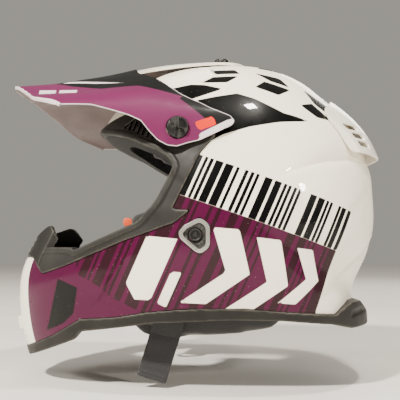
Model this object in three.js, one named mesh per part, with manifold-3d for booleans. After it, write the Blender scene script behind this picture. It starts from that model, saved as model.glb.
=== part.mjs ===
// Motocross helmet as an assembly of its separate pieces.
// Millimetres. +Z up, front of the helmet towards -Y, the wearer's left is +X.
// The origin is the middle of the head cavity.
import * as THREE from 'three';
import { mergeVertices } from 'three/addons/utils/BufferGeometryUtils.js';
import Module from 'manifold-3d';

const wasm = await Module();
wasm.setup();

// ---------------------------------------------------------------- driving dimensions
const HALF_WIDTH = 125; // widest half width of the outer shell
const CENTRE = [-5, 0]; // y, z of the widest point, the pole of the shell's shape
const GAP = 0.3; // clearance between pieces that touch
const WALL = 4; // composite shell
const FOAM_OUT = WALL + GAP; // outside of the foam, measured in from the shell's surface
const FOAM_IN = 30; // inside of the crown foam
const CHIN_FOAM_IN = 21; // inside of the chin bar foam
const STRAP_SLOT = [31, 33]; // where the straps run, between foam and cheek pads
const BASE_SLOT = [34, 36]; // cheek pad base plates
const CHEEK_IN = 58; // face side of the cheek pads
const CROWN_PAD_IN = 38; // head side of the crown pad
const TRIM_PROUD = 1.5; // how far the rubber trims stand above the shell
const PEAK_SHEET = 2.6; // thickness of the moulded peak
const PIVOT = [-54, 73]; // y, z of the side screws, the axis on which the peak tilts
const SEAT = 116.6; // x of the flat seat of each side screw on the peak
const TOP_SCREW_Y = -14;
const TONGUE_TOP = 157.6; // height of the tongue under the top screw
const STRAP_WIDTH = 26;
const STRAP_THICK = 2;
const STRAP_LEAN = 0.3; // straps run forward as they go down, radians
const STRAP_EXIT_Z = -101; // where a strap comes out below its cheek pad
const STRAP_FREE = 38; // free end of the left strap
const RING_WIRE = 3; // thickness of the D-rings
const RING_STEPS = 32; // facets round the side view of each big skin
const BOW_STEPS = 12; // facets from one side to the other

// Side outline of the closed outer form on the middle plane, as y, z.
// The eye port is cut out of it afterwards.
const OUTLINE = [
  [130, -4], [130, 25], [128, 45], [121.5, 66], [112, 87], [97, 107], [80, 121.5], [62, 135.5],
  [38, 146.5], [8, 152], [-26, 151.5], [-58, 147.2], [-83, 138], [-103, 123], [-117, 108],
  [-128, 92], [-134, 76], [-155, 45], [-178, 14], [-191, -15], [-204, -42], [-207.5, -60],
  [-205, -95], [-199, -120], [-186, -150], [-152, -178], [-100, -192], [-30, -197], [40, -190],
  [88, -165], [110, -125], [110, -90], [108.5, -69], [112.5, -54], [125, -28],
];

// Lower edge of the shell, front to back, as y, z.
const RIM = [
  [-260, -124], [-197, -115], [-164, -100], [-137, -84], [-105, -81], [-80, -76.5], [-50, -73.5],
  [0, -72.7], [66, -78.6], [77, -79.5], [83, -75.5], [93, -70], [180, -70.5],
];
// Lower edge of the rubber rim trim.
const TRIM_RIM = [
  [-260, -135], [-198, -125], [-143, -102.5], [-136, -95], [-105, -90.5], [-73, -85.7], [-10, -82.6],
  [32, -83.6], [74, -88], [94, -93], [180, -93],
];
// Side outline of the hole in the shell that the eye port trim fills.
const PORT_CUT = [
  [-260, 112], [-124, 90], [-98, 96], [-74, 86], [-66, 64], [-44, 63], [-21, 69], [-35, 53],
  [-52, 19], [-58, 7], [-43, 6], [-56, -4.6], [-98, -19], [-150, -40], [-175, -48], [-187, -33.3],
  [-260, -33.3],
];
// Side outline of the eye port itself.
const PORT = [
  [-280, 150], [-131, 84], [-125, 80], [-108, 73.5], [-96, 69], [-83, 61.5], [-70, 55], [-62, 50],
  [-58, 43], [-60, 37], [-64, 29.5], [-70, 17.5], [-74, 11.5], [-87, -3], [-143, -26.6], [-146, -24],
  [-280, -24],
];
// The nose guard fills this part of the side view.
const NOSE = [
  [-220, -14], [-192, -15], [-173, -4.5], [-169, -5], [-160, -19], [-153, -25], [-153.5, -40.7],
  [-175, -47.5], [-187, -33], [-220, -33],
];
const NOSE_HALF = 62;
// Triangular side badge vent.
const BADGE = [
  [-36, 0], [-28, -6], [-28, -24], [-35, -29], [-39, -28], [-52, -17], [-53, -12], [-49, -7],
];
const BADGE_CENTRE = [-39.6, -14.2];
// Cheek pad in the side view.
const CHEEK = [
  [-98, -5], [-97, 5], [-80, 10], [-50, 14], [-18, 12], [2, -12], [14, -50], [26, -88],
  [-20, -94], [-80, -96], [-92, -86], [-100, -50],
];
// Neck roll in the side view.
const NECK = [[34, -90], [24, -52], [60, -38], [140, -38], [140, -96], [80, -96]];
// Rear spoiler in the side view.
const SPOILER = [[92, 118], [112, 113], [150, 62], [131, 57.5], [97, 58.5], [76, 88], [74, 98]];

// ---------------------------------------------------------------- helpers
const solidOf = (geometry) => {
  const bare = geometry.clone();
  for (const name of ['normal', 'uv']) bare.deleteAttribute(name);
  const merged = mergeVertices(bare, 1e-4);
  const vertProperties = new Float32Array(merged.attributes.position.array);
  const triVerts = new Uint32Array(merged.index.array);
  return new wasm.Manifold(new wasm.Mesh({ numProp: 3, vertProperties, triVerts }));
};

const geometryOf = (solid) => {
  const mesh = solid.getMesh();
  const geometry = new THREE.BufferGeometry();
  geometry.setAttribute('position', new THREE.BufferAttribute(mesh.vertProperties, 3));
  geometry.setIndex(new THREE.BufferAttribute(mesh.triVerts, 1));
  geometry.computeVertexNormals();
  return geometry;
};

const shapeOf = (points) => new THREE.Shape(points.map(([a, b]) => new THREE.Vector2(a, b)));

// A side outline (y, z) pushed along X from x0 to x1.
const slab = (points, x0 = -200, x1 = 200) => {
  const geometry = new THREE.ExtrudeGeometry(shapeOf(points), { depth: x1 - x0, bevelEnabled: false });
  const toSide = new THREE.Matrix4().makeBasis(
    new THREE.Vector3(0, 1, 0), new THREE.Vector3(0, 0, 1), new THREE.Vector3(1, 0, 0));
  return solidOf(geometry.applyMatrix4(toSide.setPosition(x0, 0, 0)));
};

const box = (low, high) => {
  const size = high.map((value, i) => value - low[i]);
  const geometry = new THREE.BoxGeometry(...size);
  return solidOf(geometry.translate(...low.map((value, i) => value + size[i] / 2)));
};

// A round bar between two points.
const bar = (from, to, radius, sides = 16, endRadius = radius) => {
  const start = new THREE.Vector3(...from);
  const way = new THREE.Vector3(...to).sub(start);
  const geometry = new THREE.CylinderGeometry(endRadius, radius, way.length(), sides);
  const up = new THREE.Vector3(0, 1, 0);
  const turn = new THREE.Quaternion().setFromUnitVectors(up, way.clone().normalize());
  geometry.applyQuaternion(turn);
  return solidOf(geometry.translate(...start.addScaledVector(way, 0.5).toArray()));
};

// Moves a side outline outwards by a distance, corner by corner.
const grow = (points, distance) => {
  const area = points.reduce((sum, [a, b], i) => {
    const [c, d] = points[(i + 1) % points.length];
    return sum + a * d - c * b;
  }, 0);
  const side = Math.sign(area);
  return points.map((point, i) => {
    const before = points[(i + points.length - 1) % points.length];
    const after = points[(i + 1) % points.length];
    const normalOf = (p, q) => {
      const length = Math.hypot(q[0] - p[0], q[1] - p[1]);
      return [(q[1] - p[1]) / length * side, -(q[0] - p[0]) / length * side];
    };
    const [n, m] = [normalOf(before, point), normalOf(point, after)];
    const share = distance / (1 + n[0] * m[0] + n[1] * m[1]);
    return [point[0] + (n[0] + m[0]) * share, point[1] + (n[1] + m[1]) * share];
  });
};

// ---------------------------------------------------------------- the helmet's form
// Distance from the pole to the side outline in each direction, smooth through its corners.
const polar = OUTLINE.map(([y, z]) => {
  const angle = Math.atan2(z - CENTRE[1], y - CENTRE[0]);
  return [(angle + 2 * Math.PI) % (2 * Math.PI), Math.hypot(y - CENTRE[0], z - CENTRE[1])];
}).sort((a, b) => a[0] - b[0]);

const reach = (angle) => {
  const turn = ((angle % (2 * Math.PI)) + 2 * Math.PI) % (2 * Math.PI);
  const count = polar.length;
  let i = polar.findIndex(([a]) => a > turn);
  if (i < 0) i = count;
  const at = (k) => {
    const lap = Math.floor(k / count);
    const [a, r] = polar[k - lap * count];
    return [a + lap * 2 * Math.PI, r];
  };
  const [p0, p1, p2, p3] = [at(i - 2), at(i - 1), at(i), at(i + 1)];
  const span = p2[0] - p1[0];
  const t = (turn - p1[0]) / span;
  const m1 = (p2[1] - p0[1]) / (p2[0] - p0[0]) * span;
  const m2 = (p3[1] - p1[1]) / (p3[0] - p1[0]) * span;
  const [t2, t3] = [t * t, t * t * t];
  const ends = (2 * t3 - 3 * t2 + 1) * p1[1] + (3 * t2 - 2 * t3) * p2[1];
  return ends + (t3 - 2 * t2 + t) * m1 + (t3 - t2) * m2;
};

// The form is rounder at the crown and more pointed towards the chin.
const CHIN_WAY = 3.58; // direction of the chin from the pole, radians from +Y
const power = (angle) => 2.05 - 0.4 * Math.max(0, Math.cos(angle - CHIN_WAY)) ** 2;
const SIDE_POWER = 2.1;

// Half width of the form at a point of the side view, a distance inside the outer surface.
const halfWidth = (y, z, inset = 0) => {
  const angle = Math.atan2(z - CENTRE[1], y - CENTRE[0]);
  const share = Math.hypot(y - CENTRE[0], z - CENTRE[1]) / (reach(angle) - inset);
  return (HALF_WIDTH - inset) * Math.max(0, 1 - share ** power(angle)) ** (1 / SIDE_POWER);
};

// The whole closed form, its surface moved inwards by inset, which may vary with direction.
const form = (inset) => {
  const [ring, bow] = [RING_STEPS, BOW_STEPS];
  const insetAt = typeof inset === 'function' ? inset : () => inset;
  const points = [];
  const poleInset = typeof inset === 'function' ? 0 : inset;
  points.push([HALF_WIDTH - poleInset, ...CENTRE]);
  for (let j = 1; j < bow; j += 1) {
    const tilt = Math.PI * j / bow;
    for (let i = 0; i < ring; i += 1) {
      const angle = 2 * Math.PI * i / ring;
      const far = reach(angle) - insetAt(angle);
      const share = Math.sin(tilt) ** (2 / power(angle));
      const wide = Math.sign(Math.cos(tilt)) * Math.abs(Math.cos(tilt)) ** (2 / SIDE_POWER);
      const x = (HALF_WIDTH - poleInset) * (j * 2 === bow ? 0 : wide);
      const out = share * far;
      points.push([x, CENTRE[0] + out * Math.cos(angle), CENTRE[1] + out * Math.sin(angle)]);
    }
  }
  points.push([-(HALF_WIDTH - poleInset), ...CENTRE]);
  const faces = [];
  const last = points.length - 1;
  const at = (j, i) => 1 + (j - 1) * ring + (i % ring);
  for (let i = 0; i < ring; i += 1) {
    faces.push(0, at(1, i), at(1, i + 1));
    faces.push(last, at(bow - 1, i + 1), at(bow - 1, i));
    for (let j = 1; j < bow - 1; j += 1) {
      faces.push(at(j, i), at(j + 1, i), at(j + 1, i + 1));
      faces.push(at(j, i), at(j + 1, i + 1), at(j, i + 1));
    }
  }
  const geometry = new THREE.BufferGeometry();
  geometry.setAttribute('position', new THREE.BufferAttribute(new Float32Array(points.flat()), 3));
  geometry.setIndex(faces);
  return solidOf(geometry);
};

// A layer of the form between two depths.
const layer = (outer, inner) => form(outer).subtract(form(inner));

const below = (line, lift = 0) => [
  ...line.map(([y, z]) => [y, z + lift]), [line.at(-1)[0], -260], [line[0][0], -260]];
const LEFT = box([0.2, -400, -400], [400, 400, 400]);
const mirrored = (solid) => solid.mirror([1, 0, 0]);

// ---------------------------------------------------------------- materials and assembly
const finish = (color, roughness, metalness = 0) => (
  new THREE.MeshStandardMaterial({ color, roughness, metalness }));
const LOOK = {
  shell: finish(0xebe4d7, 0.3),
  peak: finish(0xa05582, 0.42),
  white: finish(0xe8e2d8, 0.4),
  trim: finish(0x323230, 0.75),
  foam: finish(0x2b2b2c, 0.9),
  pad: finish(0x77757a, 0.95),
  plastic: finish(0x1c1c1d, 0.5),
  silver: finish(0xa9a8a6, 0.4, 0.6),
  steel: finish(0xb8b8b8, 0.3, 1),
  webbing: finish(0x17171a, 0.9),
  orange: finish(0xeb5a1e, 0.55),
};

const helmet = new THREE.Group();
const addPiece = (name, solid, look) => {
  const mesh = new THREE.Mesh(geometryOf(solid), look);
  mesh.name = name;
  helmet.add(mesh);
};
const addPair = (name, leftSolid, look) => {
  addPiece(`${name}_left`, leftSolid, look);
  addPiece(`${name}_right`, mirrored(leftSolid), look);
};

// ---------------------------------------------------------------- outer shell and its vents
const MOUTH_HALF = 33; // half width of the white chin vent
const MOUTH = [[-260, -20], [-150, -20], [-150, -106], [-260, -106]];
const MOUTH_SLOTS = [-56, -69, -82]; // z of the chin vent's three slots
// Rear hole under the spoiler.
const EXHAUST = [[80, 62], [105, 70], [99, 92], [150, 140], [180, 90]];
const EXHAUST_HALF = 34;
const badgeFace = halfWidth(...BADGE_CENTRE) + 1.8; // x of the front of each side badge
const badgeFloor = badgeFace - 4.2; // x of the floor of its recess in the shell

function makeShell() {
  let shell = layer(0, WALL);
  shell = shell.subtract(slab(PORT_CUT));
  shell = shell.subtract(slab(below(RIM)));
  shell = shell.subtract(slab(MOUTH, -MOUTH_HALF - GAP, MOUTH_HALF + GAP));
  shell = shell.subtract(slab(EXHAUST, -EXHAUST_HALF, EXHAUST_HALF));
  shell = shell.subtract(slab(grow(BADGE, GAP), badgeFloor, 140));
  shell = shell.subtract(slab(grow(BADGE, GAP), -140, -badgeFloor));
  shell = shell.subtract(bar([-150, ...BADGE_CENTRE], [150, ...BADGE_CENTRE], 3.3, 12));
  shell = shell.subtract(bar([-150, ...PIVOT], [150, ...PIVOT], 6.3, 12));
  shell = shell.subtract(bar([0, TOP_SCREW_Y, 130], [0, TOP_SCREW_Y, 170], 6.3, 12));
  addPiece('outer_shell', shell, LOOK.shell);
}

function makeChinVent() {
  const front = [[-260, -33.7], [-150, -33.7], [-150, -105.7], [-260, -105.7]];
  let cover = layer(-TRIM_PROUD, WALL).intersect(slab(front, -MOUTH_HALF, MOUTH_HALF));
  for (const z of MOUTH_SLOTS) {
    cover = cover.subtract(box([-22, -230, z - 3], [22, -150, z + 3]));
  }
  addPiece('chin_vent_cover', cover, LOOK.white);
  const grilleZone = slab([[-260, -48], [-150, -48], [-150, -90], [-260, -90]], -26, 26);
  let grille = layer(FOAM_OUT, FOAM_OUT + 1.6).intersect(grilleZone);
  for (let x = -18; x <= 18; x += 9) {
    for (const z of MOUTH_SLOTS) {
      grille = grille.subtract(box([x - 3.6, -230, z - 4.5], [x + 3.6, -150, z + 4.5]));
    }
  }
  addPiece('mouth_grille', grille, LOOK.plastic);
}

// ---------------------------------------------------------------- foam liners
function makeFoam() {
  const port = slab(PORT);
  const rim = slab(below(RIM));
  const chinZone = slab([[-61, 40], [-61, -200], [-300, -200], [-300, 40]]);
  let crown = layer(FOAM_OUT, FOAM_IN).subtract(port).subtract(rim);
  crown = crown.subtract(slab([[-60.7, 40], [-60.7, -200], [-300, -200], [-300, 40]]));
  for (const side of [-1, 1]) {
    crown = crown.subtract(bar([side * 89, ...PIVOT], [side * 150, ...PIVOT], 9.3, 12));
  }
  crown = crown.subtract(bar([-150, ...BADGE_CENTRE], [150, ...BADGE_CENTRE], 3.8, 12));
  crown = crown.subtract(bar([0, TOP_SCREW_Y, 137.6], [0, TOP_SCREW_Y, 170], 9.3, 12));
  addPiece('crown_foam', crown, LOOK.foam);
  let chin = layer(FOAM_OUT, CHIN_FOAM_IN).intersect(chinZone).subtract(port).subtract(rim);
  chin = chin.subtract(slab([[-260, -44], [-150, -44], [-150, -94], [-260, -94]], -28, 28));
  addPiece('chin_foam', chin, LOOK.foam);
}

// ---------------------------------------------------------------- rubber trims
// Louvred insert in the brow, in the side view.
const LOUVRE = [[-103, 81], [-68, 62.5], [-73.5, 77], [-91, 88]];

function makeTrims() {
  const hole = slab(grow(PORT_CUT, -GAP));
  let trim = layer(-TRIM_PROUD, WALL).intersect(hole).subtract(slab(PORT));
  trim = trim.subtract(slab(grow(NOSE, GAP), -NOSE_HALF - GAP, NOSE_HALF + GAP));
  // In the middle the chin vent takes the trim's place below the nose guard.
  const middle = [[-300, -70], [-300, -20], [-170, -20], [-150, -70]];
  trim = trim.subtract(slab(middle, -NOSE_HALF - GAP, NOSE_HALF + GAP));
  trim = trim.subtract(slab(grow(LOUVRE, GAP)));
  addPiece('eye_port_trim', trim, LOOK.trim);
  const guard = layer(-TRIM_PROUD - 1, WALL).intersect(slab(NOSE, -NOSE_HALF, NOSE_HALF));
  addPiece('nose_guard', guard, LOOK.trim);
  let insert = layer(0, WALL - 0.5).intersect(slab(LOUVRE, 0.2, 200));
  for (let i = 0; i < 4; i += 1) {
    const [y, z] = [-92 + i * 5.6, 80.5 - i * 3.2];
    const slot = [[y - 2.6, z - 3], [y - 0.6, z - 4], [y + 2.6, z + 3], [y + 0.6, z + 4]];
    insert = insert.subtract(slab(slot));
  }
  addPair('brow_louvre', insert, LOOK.plastic);
  // The rim trim flares outwards and down round the nape.
  const flare = (angle) => -TRIM_PROUD - 15 * Math.max(0, Math.cos(angle + 0.62)) ** 16;
  const slope = [[104, -60], [104, -69.5], [126, -90], [200, -90], [200, -60]];
  const rimZone = slab(below(RIM, -GAP)).subtract(slab(below(TRIM_RIM))).subtract(slab(slope));
  addPiece('rim_trim', form(flare).subtract(form(12)).intersect(rimZone), LOOK.trim);
}

// ---------------------------------------------------------------- soft lining
function makePads() {
  const face = slab(grow(PORT, 5));
  const low = slab([[-200, 15], [20, 15], [50, -34], [200, -34], [200, -260], [-200, -260]]);
  const cap = layer(FOAM_IN + GAP, CROWN_PAD_IN).subtract(face).subtract(low);
  addPiece('crown_pad', cap, LOOK.pad);
  const inside = layer(BASE_SLOT[1] + GAP, CHEEK_IN);
  const cheek = inside.intersect(slab(CHEEK)).intersect(LEFT);
  addPair('cheek_pad', cheek, LOOK.pad);
  let plate = layer(...BASE_SLOT).intersect(slab(grow(CHEEK, -4))).intersect(LEFT);
  plate = plate.subtract(bar([0, ...BADGE_CENTRE], [150, ...BADGE_CENTRE], 7, 16));
  addPair('cheek_pad_base', plate, LOOK.plastic);
  // Pull tab at the front corner of each cheek pad, for taking the pad out.
  addPair('release_tab', box([56, -108, -3], [59, -98.3, 6]), LOOK.orange);
  const roll = layer(FOAM_IN + GAP, 50).intersect(slab(NECK));
  addPiece('neck_roll', roll, LOOK.pad);
}

// ---------------------------------------------------------------- side badges and rear spoiler
function makeBadges() {
  const inner = grow(BADGE, -2.6);
  const at = (depth) => [badgeFace - depth, ...BADGE_CENTRE];
  const bezel = slab(BADGE, badgeFloor + GAP, badgeFace).subtract(slab(inner, 0, 200));
  addPair('badge_bezel', bezel, LOOK.silver);
  const dish = slab(grow(inner, -GAP), badgeFloor + GAP, badgeFace - 2.4);
  addPair('badge_dish', dish.subtract(bar(at(20), at(-1), 5.8)), LOOK.plastic);
  // The button caps the rivet that holds the strap.
  addPair('badge_button', bar(at(2.1), at(-0.2), 5.1), LOOK.plastic);
  let rivet = bar(at(3.9), at(2.4), 5.1).add(bar(at(36.5), at(3), 3, 10));
  rivet = rivet.add(bar(at(37.2), at(36), 5, 12));
  addPair('strap_rivet', rivet, LOOK.steel);
}

const SPOILER_HALF = 78; // half width of the rear spoiler
const SPOILER_LOUVRE = [57, 71]; // x of the louvre slots on each side

function makeSpoiler() {
  // Close to the shell at its top edge, standing off it at its lip.
  const lift = (angle) => -1.2 - 11 * Math.max(0, Math.cos((angle - 0.42) * 1.25)) ** 10;
  let hood = form(lift).subtract(form((angle) => Math.min(-0.4, lift(angle) + 3)));
  hood = hood.intersect(slab(SPOILER, -SPOILER_HALF, SPOILER_HALF));
  // A wall at each side closes the space between the hood and the shell.
  const space = form(lift).subtract(form(() => -0.4));
  for (const side of [-1, 1]) {
    const ends = [side * SPOILER_HALF, side * (SPOILER_HALF - 3)].sort((a, b) => a - b);
    hood = hood.add(space.intersect(slab(SPOILER, ...ends)));
  }
  for (let i = 0; i < 3; i += 1) {
    const z = 82.5 - i * 7.5;
    const slot = [[76, z - 1.8], [140, z - 1.8], [140, z + 1.8], [76, z + 1.8]];
    for (const side of [-1, 1]) {
      const ends = SPOILER_LOUVRE.map((x) => side * x).sort((a, b) => a - b);
      hood = hood.subtract(slab(slot, ...ends));
    }
  }
  addPiece('rear_spoiler', hood, LOOK.white);
  let grille = layer(0.6, 2.4).intersect(slab(grow(EXHAUST, -1), -EXHAUST_HALF + 1, EXHAUST_HALF - 1));
  for (let x = -26; x <= 26; x += 10.4) {
    for (const z of [74, 84]) grille = grille.subtract(box([x - 3.6, 80, z - 3], [x + 3.6, 200, z + 3]));
  }
  addPiece('exhaust_grille', grille, LOOK.plastic);
}

// ---------------------------------------------------------------- peak
// Smooth sheet through control lines that run from its front edge to its rear edge.
const sheetThrough = (lines, along, across, thick) => {
  const curves = lines.map((line) => new THREE.CatmullRomCurve3(
    line.map((point) => new THREE.Vector3(...point)), false, 'centripetal'));
  const grid = [];
  for (let i = 0; i <= along; i += 1) {
    const knots = curves.map((curve) => curve.getPoint(i / along));
    const rib = new THREE.CatmullRomCurve3(knots, false, 'centripetal');
    grid.push(Array.from({ length: across + 1 }, (_, j) => rib.getPoint(j / across)));
  }
  const under = grid.map((rib, i) => rib.map((point, j) => {
    const ahead = grid[Math.min(i + 1, along)][j].clone().sub(grid[Math.max(i - 1, 0)][j]);
    const aside = rib[Math.min(j + 1, across)].clone().sub(rib[Math.max(j - 1, 0)]);
    return point.clone().addScaledVector(ahead.cross(aside).normalize(), thick);
  }));
  const points = [...grid.flat(), ...under.flat()];
  const [row, half] = [across + 1, grid.length * (across + 1)];
  const faces = [];
  const quad = (a, b, c, d) => faces.push(a, b, c, a, c, d);
  for (let i = 0; i < along; i += 1) {
    for (let j = 0; j < across; j += 1) {
      const a = i * row + j;
      quad(a, a + 1, a + row + 1, a + row);
      quad(half + a, half + a + row, half + a + row + 1, half + a + 1);
    }
    const [first, last] = [i * row, i * row + across];
    quad(first, first + row, half + first + row, half + first);
    quad(last, half + last, half + last + row, last + row);
  }
  for (let j = 0; j < across; j += 1) {
    const end = along * row + j;
    quad(j, half + j, half + j + 1, j + 1);
    quad(end, end + 1, half + end + 1, half + end);
  }
  const geometry = new THREE.BufferGeometry().setFromPoints(points);
  geometry.setIndex(faces);
  return solidOf(geometry);
};

// Both halves of a symmetrical sheet from the control lines of its left half.
const bothSides = (lines) => {
  const right = lines.slice(1).map((line) => line.map(([x, y, z]) => [-x, y, z]));
  return [...right.reverse(), ...lines];
};

// Control lines of the left half of the peak, middle line first.
const PEAK_LINES = [
  [[0, -217.6, 132], [0, -190, 134.2], [0, -160, 135.4],
    [0, -128, 139.6], [0, -98, 147.2], [0, -70, 156]],
  [[14, -216.5, 131.6], [17, -190, 133], [21, -160, 134],
    [26, -128, 137.8], [30, -98, 143.8], [34, -66, 151]],
  [[34, -209, 127.5], [40, -186, 127], [46, -158, 128],
    [51, -128, 130], [55, -98, 132.5], [60, -56, 136]],
  [[66, -190, 113], [74, -171, 112], [80, -148, 112.5],
    [83, -122, 114], [85, -92, 116.5], [88, -44, 117]],
  [[101, -175, 101.5], [108, -159, 101], [111, -140, 101],
    [110, -116, 102], [107, -86, 104], [103, -22, 98]],
  [[117.5, -156.5, 95], [122.5, -142, 91.5], [122, -124, 90.5],
    [120, -102, 89], [118, -76, 86], [114, -4, 84]],
  [[123.8, -149.5, 92.2], [124, -137, 84], [122, -118, 74],
    [120, -96, 62], [119.5, -66, 50], [120, 4, 55]],
];
// Part of the side view that the peak fills: lower edge, wing behind the screw, rear edge.
const PEAK_SIDE = [
  [-300, 300], [-300, 60], [-152, 60], [-149.5, 91.4], [-124, 91.2], [-106, 86.5], [-94, 83], [-84, 78.5],
  [-77, 69.6], [-70, 62.4], [-62, 58.2], [-54, 57.5], [-47, 60], [-36, 62.6], [-9.5, 75.5], [-7.5, 79],
  [-11, 83.5], [-27, 90.5], [-35, 95.5], [-45, 100.5], [-52, 104.5], [-63, 114], [-76, 125.5],
  [-92, 135], [-100, 152], [-100, 300],
];
// Control lines of the left half of the tongue that runs back from the peak over the crown.
const TONGUE_LINES = [
  [[0, -118, 141.8], [0, -98, 149.4], [0, -72, 154.4], [0, -40, 157.2],
    [0, -14, TONGUE_TOP], [0, 2, 156.6], [0, 9, 155]],
  [[13, -118, 140.8], [13, -98, 148.2], [13, -72, 153.2], [13, -40, 156.2],
    [13, -14, 156.9], [12, 1, 156], [8, 7.5, 154.9]],
  [[26, -118, 136.5], [25, -98, 143.6], [24, -72, 148.8], [23, -40, 152.9],
    [22, -14, 154.4], [20, -2, 154.2], [13, 4, 154.4]],
];

function makePeak() {
  let peak = sheetThrough(bothSides(PEAK_LINES), 12, 20, PEAK_SHEET).intersect(slab(PEAK_SIDE));
  peak = peak.add(sheetThrough(bothSides(TONGUE_LINES), 8, 6, PEAK_SHEET));
  for (const side of [-1, 1]) {
    const at = (x) => [side * x, ...PIVOT];
    peak = peak.add(bar(at(109.6), at(SEAT), 9)).subtract(bar(at(100), at(130), 3.9, 12));
    peak = peak.subtract(bar(at(SEAT), at(130), 9.6));
  }
  // The slot lets the tongue slide under the top screw as the peak tilts.
  const slot = box([-3.3, TOP_SCREW_Y - 3.4, 130], [3.3, TOP_SCREW_Y + 11, 180]);
  addPiece('peak', peak.subtract(slot), LOOK.peak);
}

// ---------------------------------------------------------------- screws that hold the peak
function makeScrews() {
  const at = (x) => [x, ...PIVOT];
  const washer = bar(at(SEAT + GAP), at(SEAT + 1.5), 8.6).subtract(bar(at(100), at(130), 4, 12));
  addPair('side_washer', washer, LOOK.plastic);
  const headBase = SEAT + 1.5 + GAP;
  let screw = bar(at(headBase), at(headBase + 4), 9, 20, 7.8);
  screw = screw.add(bar(at(93), at(headBase + 1), 3.2, 10));
  screw = screw.subtract(box([headBase + 1.6, PIVOT[0] - 1.1, 60], [140, PIVOT[0] + 1.1, 90]));
  addPair('side_screw', screw, LOOK.plastic);
  const flange = bar(at(90), at(94.5), 8.9);
  const barrel = bar(at(94), at(106), 5.9);
  addPair('side_insert', flange.add(barrel).subtract(bar(at(80), at(120), 3.6, 10)), LOOK.steel);
  const up = (z) => [0, TOP_SCREW_Y, z];
  const base = TONGUE_TOP + GAP;
  const ring = bar(up(base), up(base + 1.3), 8).subtract(bar(up(150), up(170), 3, 10));
  addPiece('top_washer', ring, LOOK.plastic);
  const head = base + 1.3 + GAP;
  let top = bar(up(head), up(head + 3.6), 7.4, 20, 6.4);
  top = top.add(bar(up(140), up(head + 1), 2.5, 10));
  top = top.subtract(box([-20, TOP_SCREW_Y - 1, head + 1.6], [20, TOP_SCREW_Y + 1, 180]));
  addPiece('top_screw', top, LOOK.plastic);
  const insert = bar(up(138), up(146), 8.9).add(bar(up(145), up(151), 5.9));
  addPiece('top_insert', insert.subtract(bar(up(130), up(160), 2.9, 10)), LOOK.steel);
}

// ---------------------------------------------------------------- chin strap
function makeStrap() {
  const half = STRAP_WIDTH / 2;
  const [sin, cos] = [Math.sin(STRAP_LEAN), Math.cos(STRAP_LEAN)];
  const [y0, z0] = BADGE_CENTRE;
  // A point of the side view, so far down the strap from its rivet and so far across it.
  const onStrap = (down, aside) => [y0 - down * sin + aside * cos, z0 - down * cos - aside * sin];
  const exit = (z0 - STRAP_EXIT_Z) / cos;
  const band = [onStrap(-12, -half), onStrap(exit, -half), onStrap(exit, half), onStrap(-12, half)];
  let fixed = layer(...STRAP_SLOT).intersect(slab(band)).intersect(LEFT);
  fixed = fixed.subtract(bar([0, ...BADGE_CENTRE], [150, ...BADGE_CENTRE], 3.3, 12));
  addPair('strap_upper', fixed, LOOK.webbing);

  // The hinge line is where the webbing bends, square to the strap.
  const [hingeY, hingeZ] = onStrap(exit, 0);
  const hingeX = halfWidth(hingeY, hingeZ, (STRAP_SLOT[0] + STRAP_SLOT[1]) / 2);
  const place = (side) => {
    const group = new THREE.Group();
    group.position.set(side * hingeX, hingeY, hingeZ);
    group.rotation.x = -STRAP_LEAN;
    helmet.add(group);
    return group;
  };
  const addTo = (group, name, solid, look) => {
    const mesh = new THREE.Mesh(geometryOf(solid), look);
    mesh.name = name;
    group.add(mesh);
  };
  const thin = STRAP_THICK / 2;
  const hem = 7;
  const free = box([-thin, -half, -STRAP_FREE], [thin, half, -1])
    .add(box([-thin - 1, -half, -STRAP_FREE], [thin + 1, half, hem - STRAP_FREE]));
  addTo(place(1), 'strap_free_end', free, LOOK.webbing);

  // Two D-rings hang side by side in the loop at the end of the right strap.
  const rings = place(-1);
  const outline = (inset) => {
    const [wide, tall] = [16 - inset, 9 - inset];
    const shape = new THREE.Shape();
    shape.moveTo(-wide, tall);
    shape.absellipse(0, tall - 1, wide, 2 * tall - 2 + 0.001, Math.PI, 2 * Math.PI, false, 0);
    shape.lineTo(wide, tall);
    return shape;
  };
  for (const [name, side] of [['d_ring_outer', -1], ['d_ring_inner', 1]]) {
    const shape = outline(0);
    shape.holes.push(outline(RING_WIRE));
    const geometry = new THREE.ExtrudeGeometry(shape, {
      depth: RING_WIRE, bevelEnabled: false, curveSegments: 14,
    });
    geometry.rotateX(Math.PI / 2).rotateZ(Math.PI / 2);
    const ring = solidOf(geometry);
    addTo(rings, name, ring.translate([side * 2 - RING_WIRE / 2, 0, -10]), LOOK.steel);
  }
}

makeShell();
makeChinVent();
makeFoam();
makeTrims();
makePads();
makeBadges();
makeSpoiler();
makePeak();
makeScrews();
makeStrap();

export default helmet;
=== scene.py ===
import math

import bmesh
import bpy
import numpy as np
from mathutils import Matrix, Vector


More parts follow.
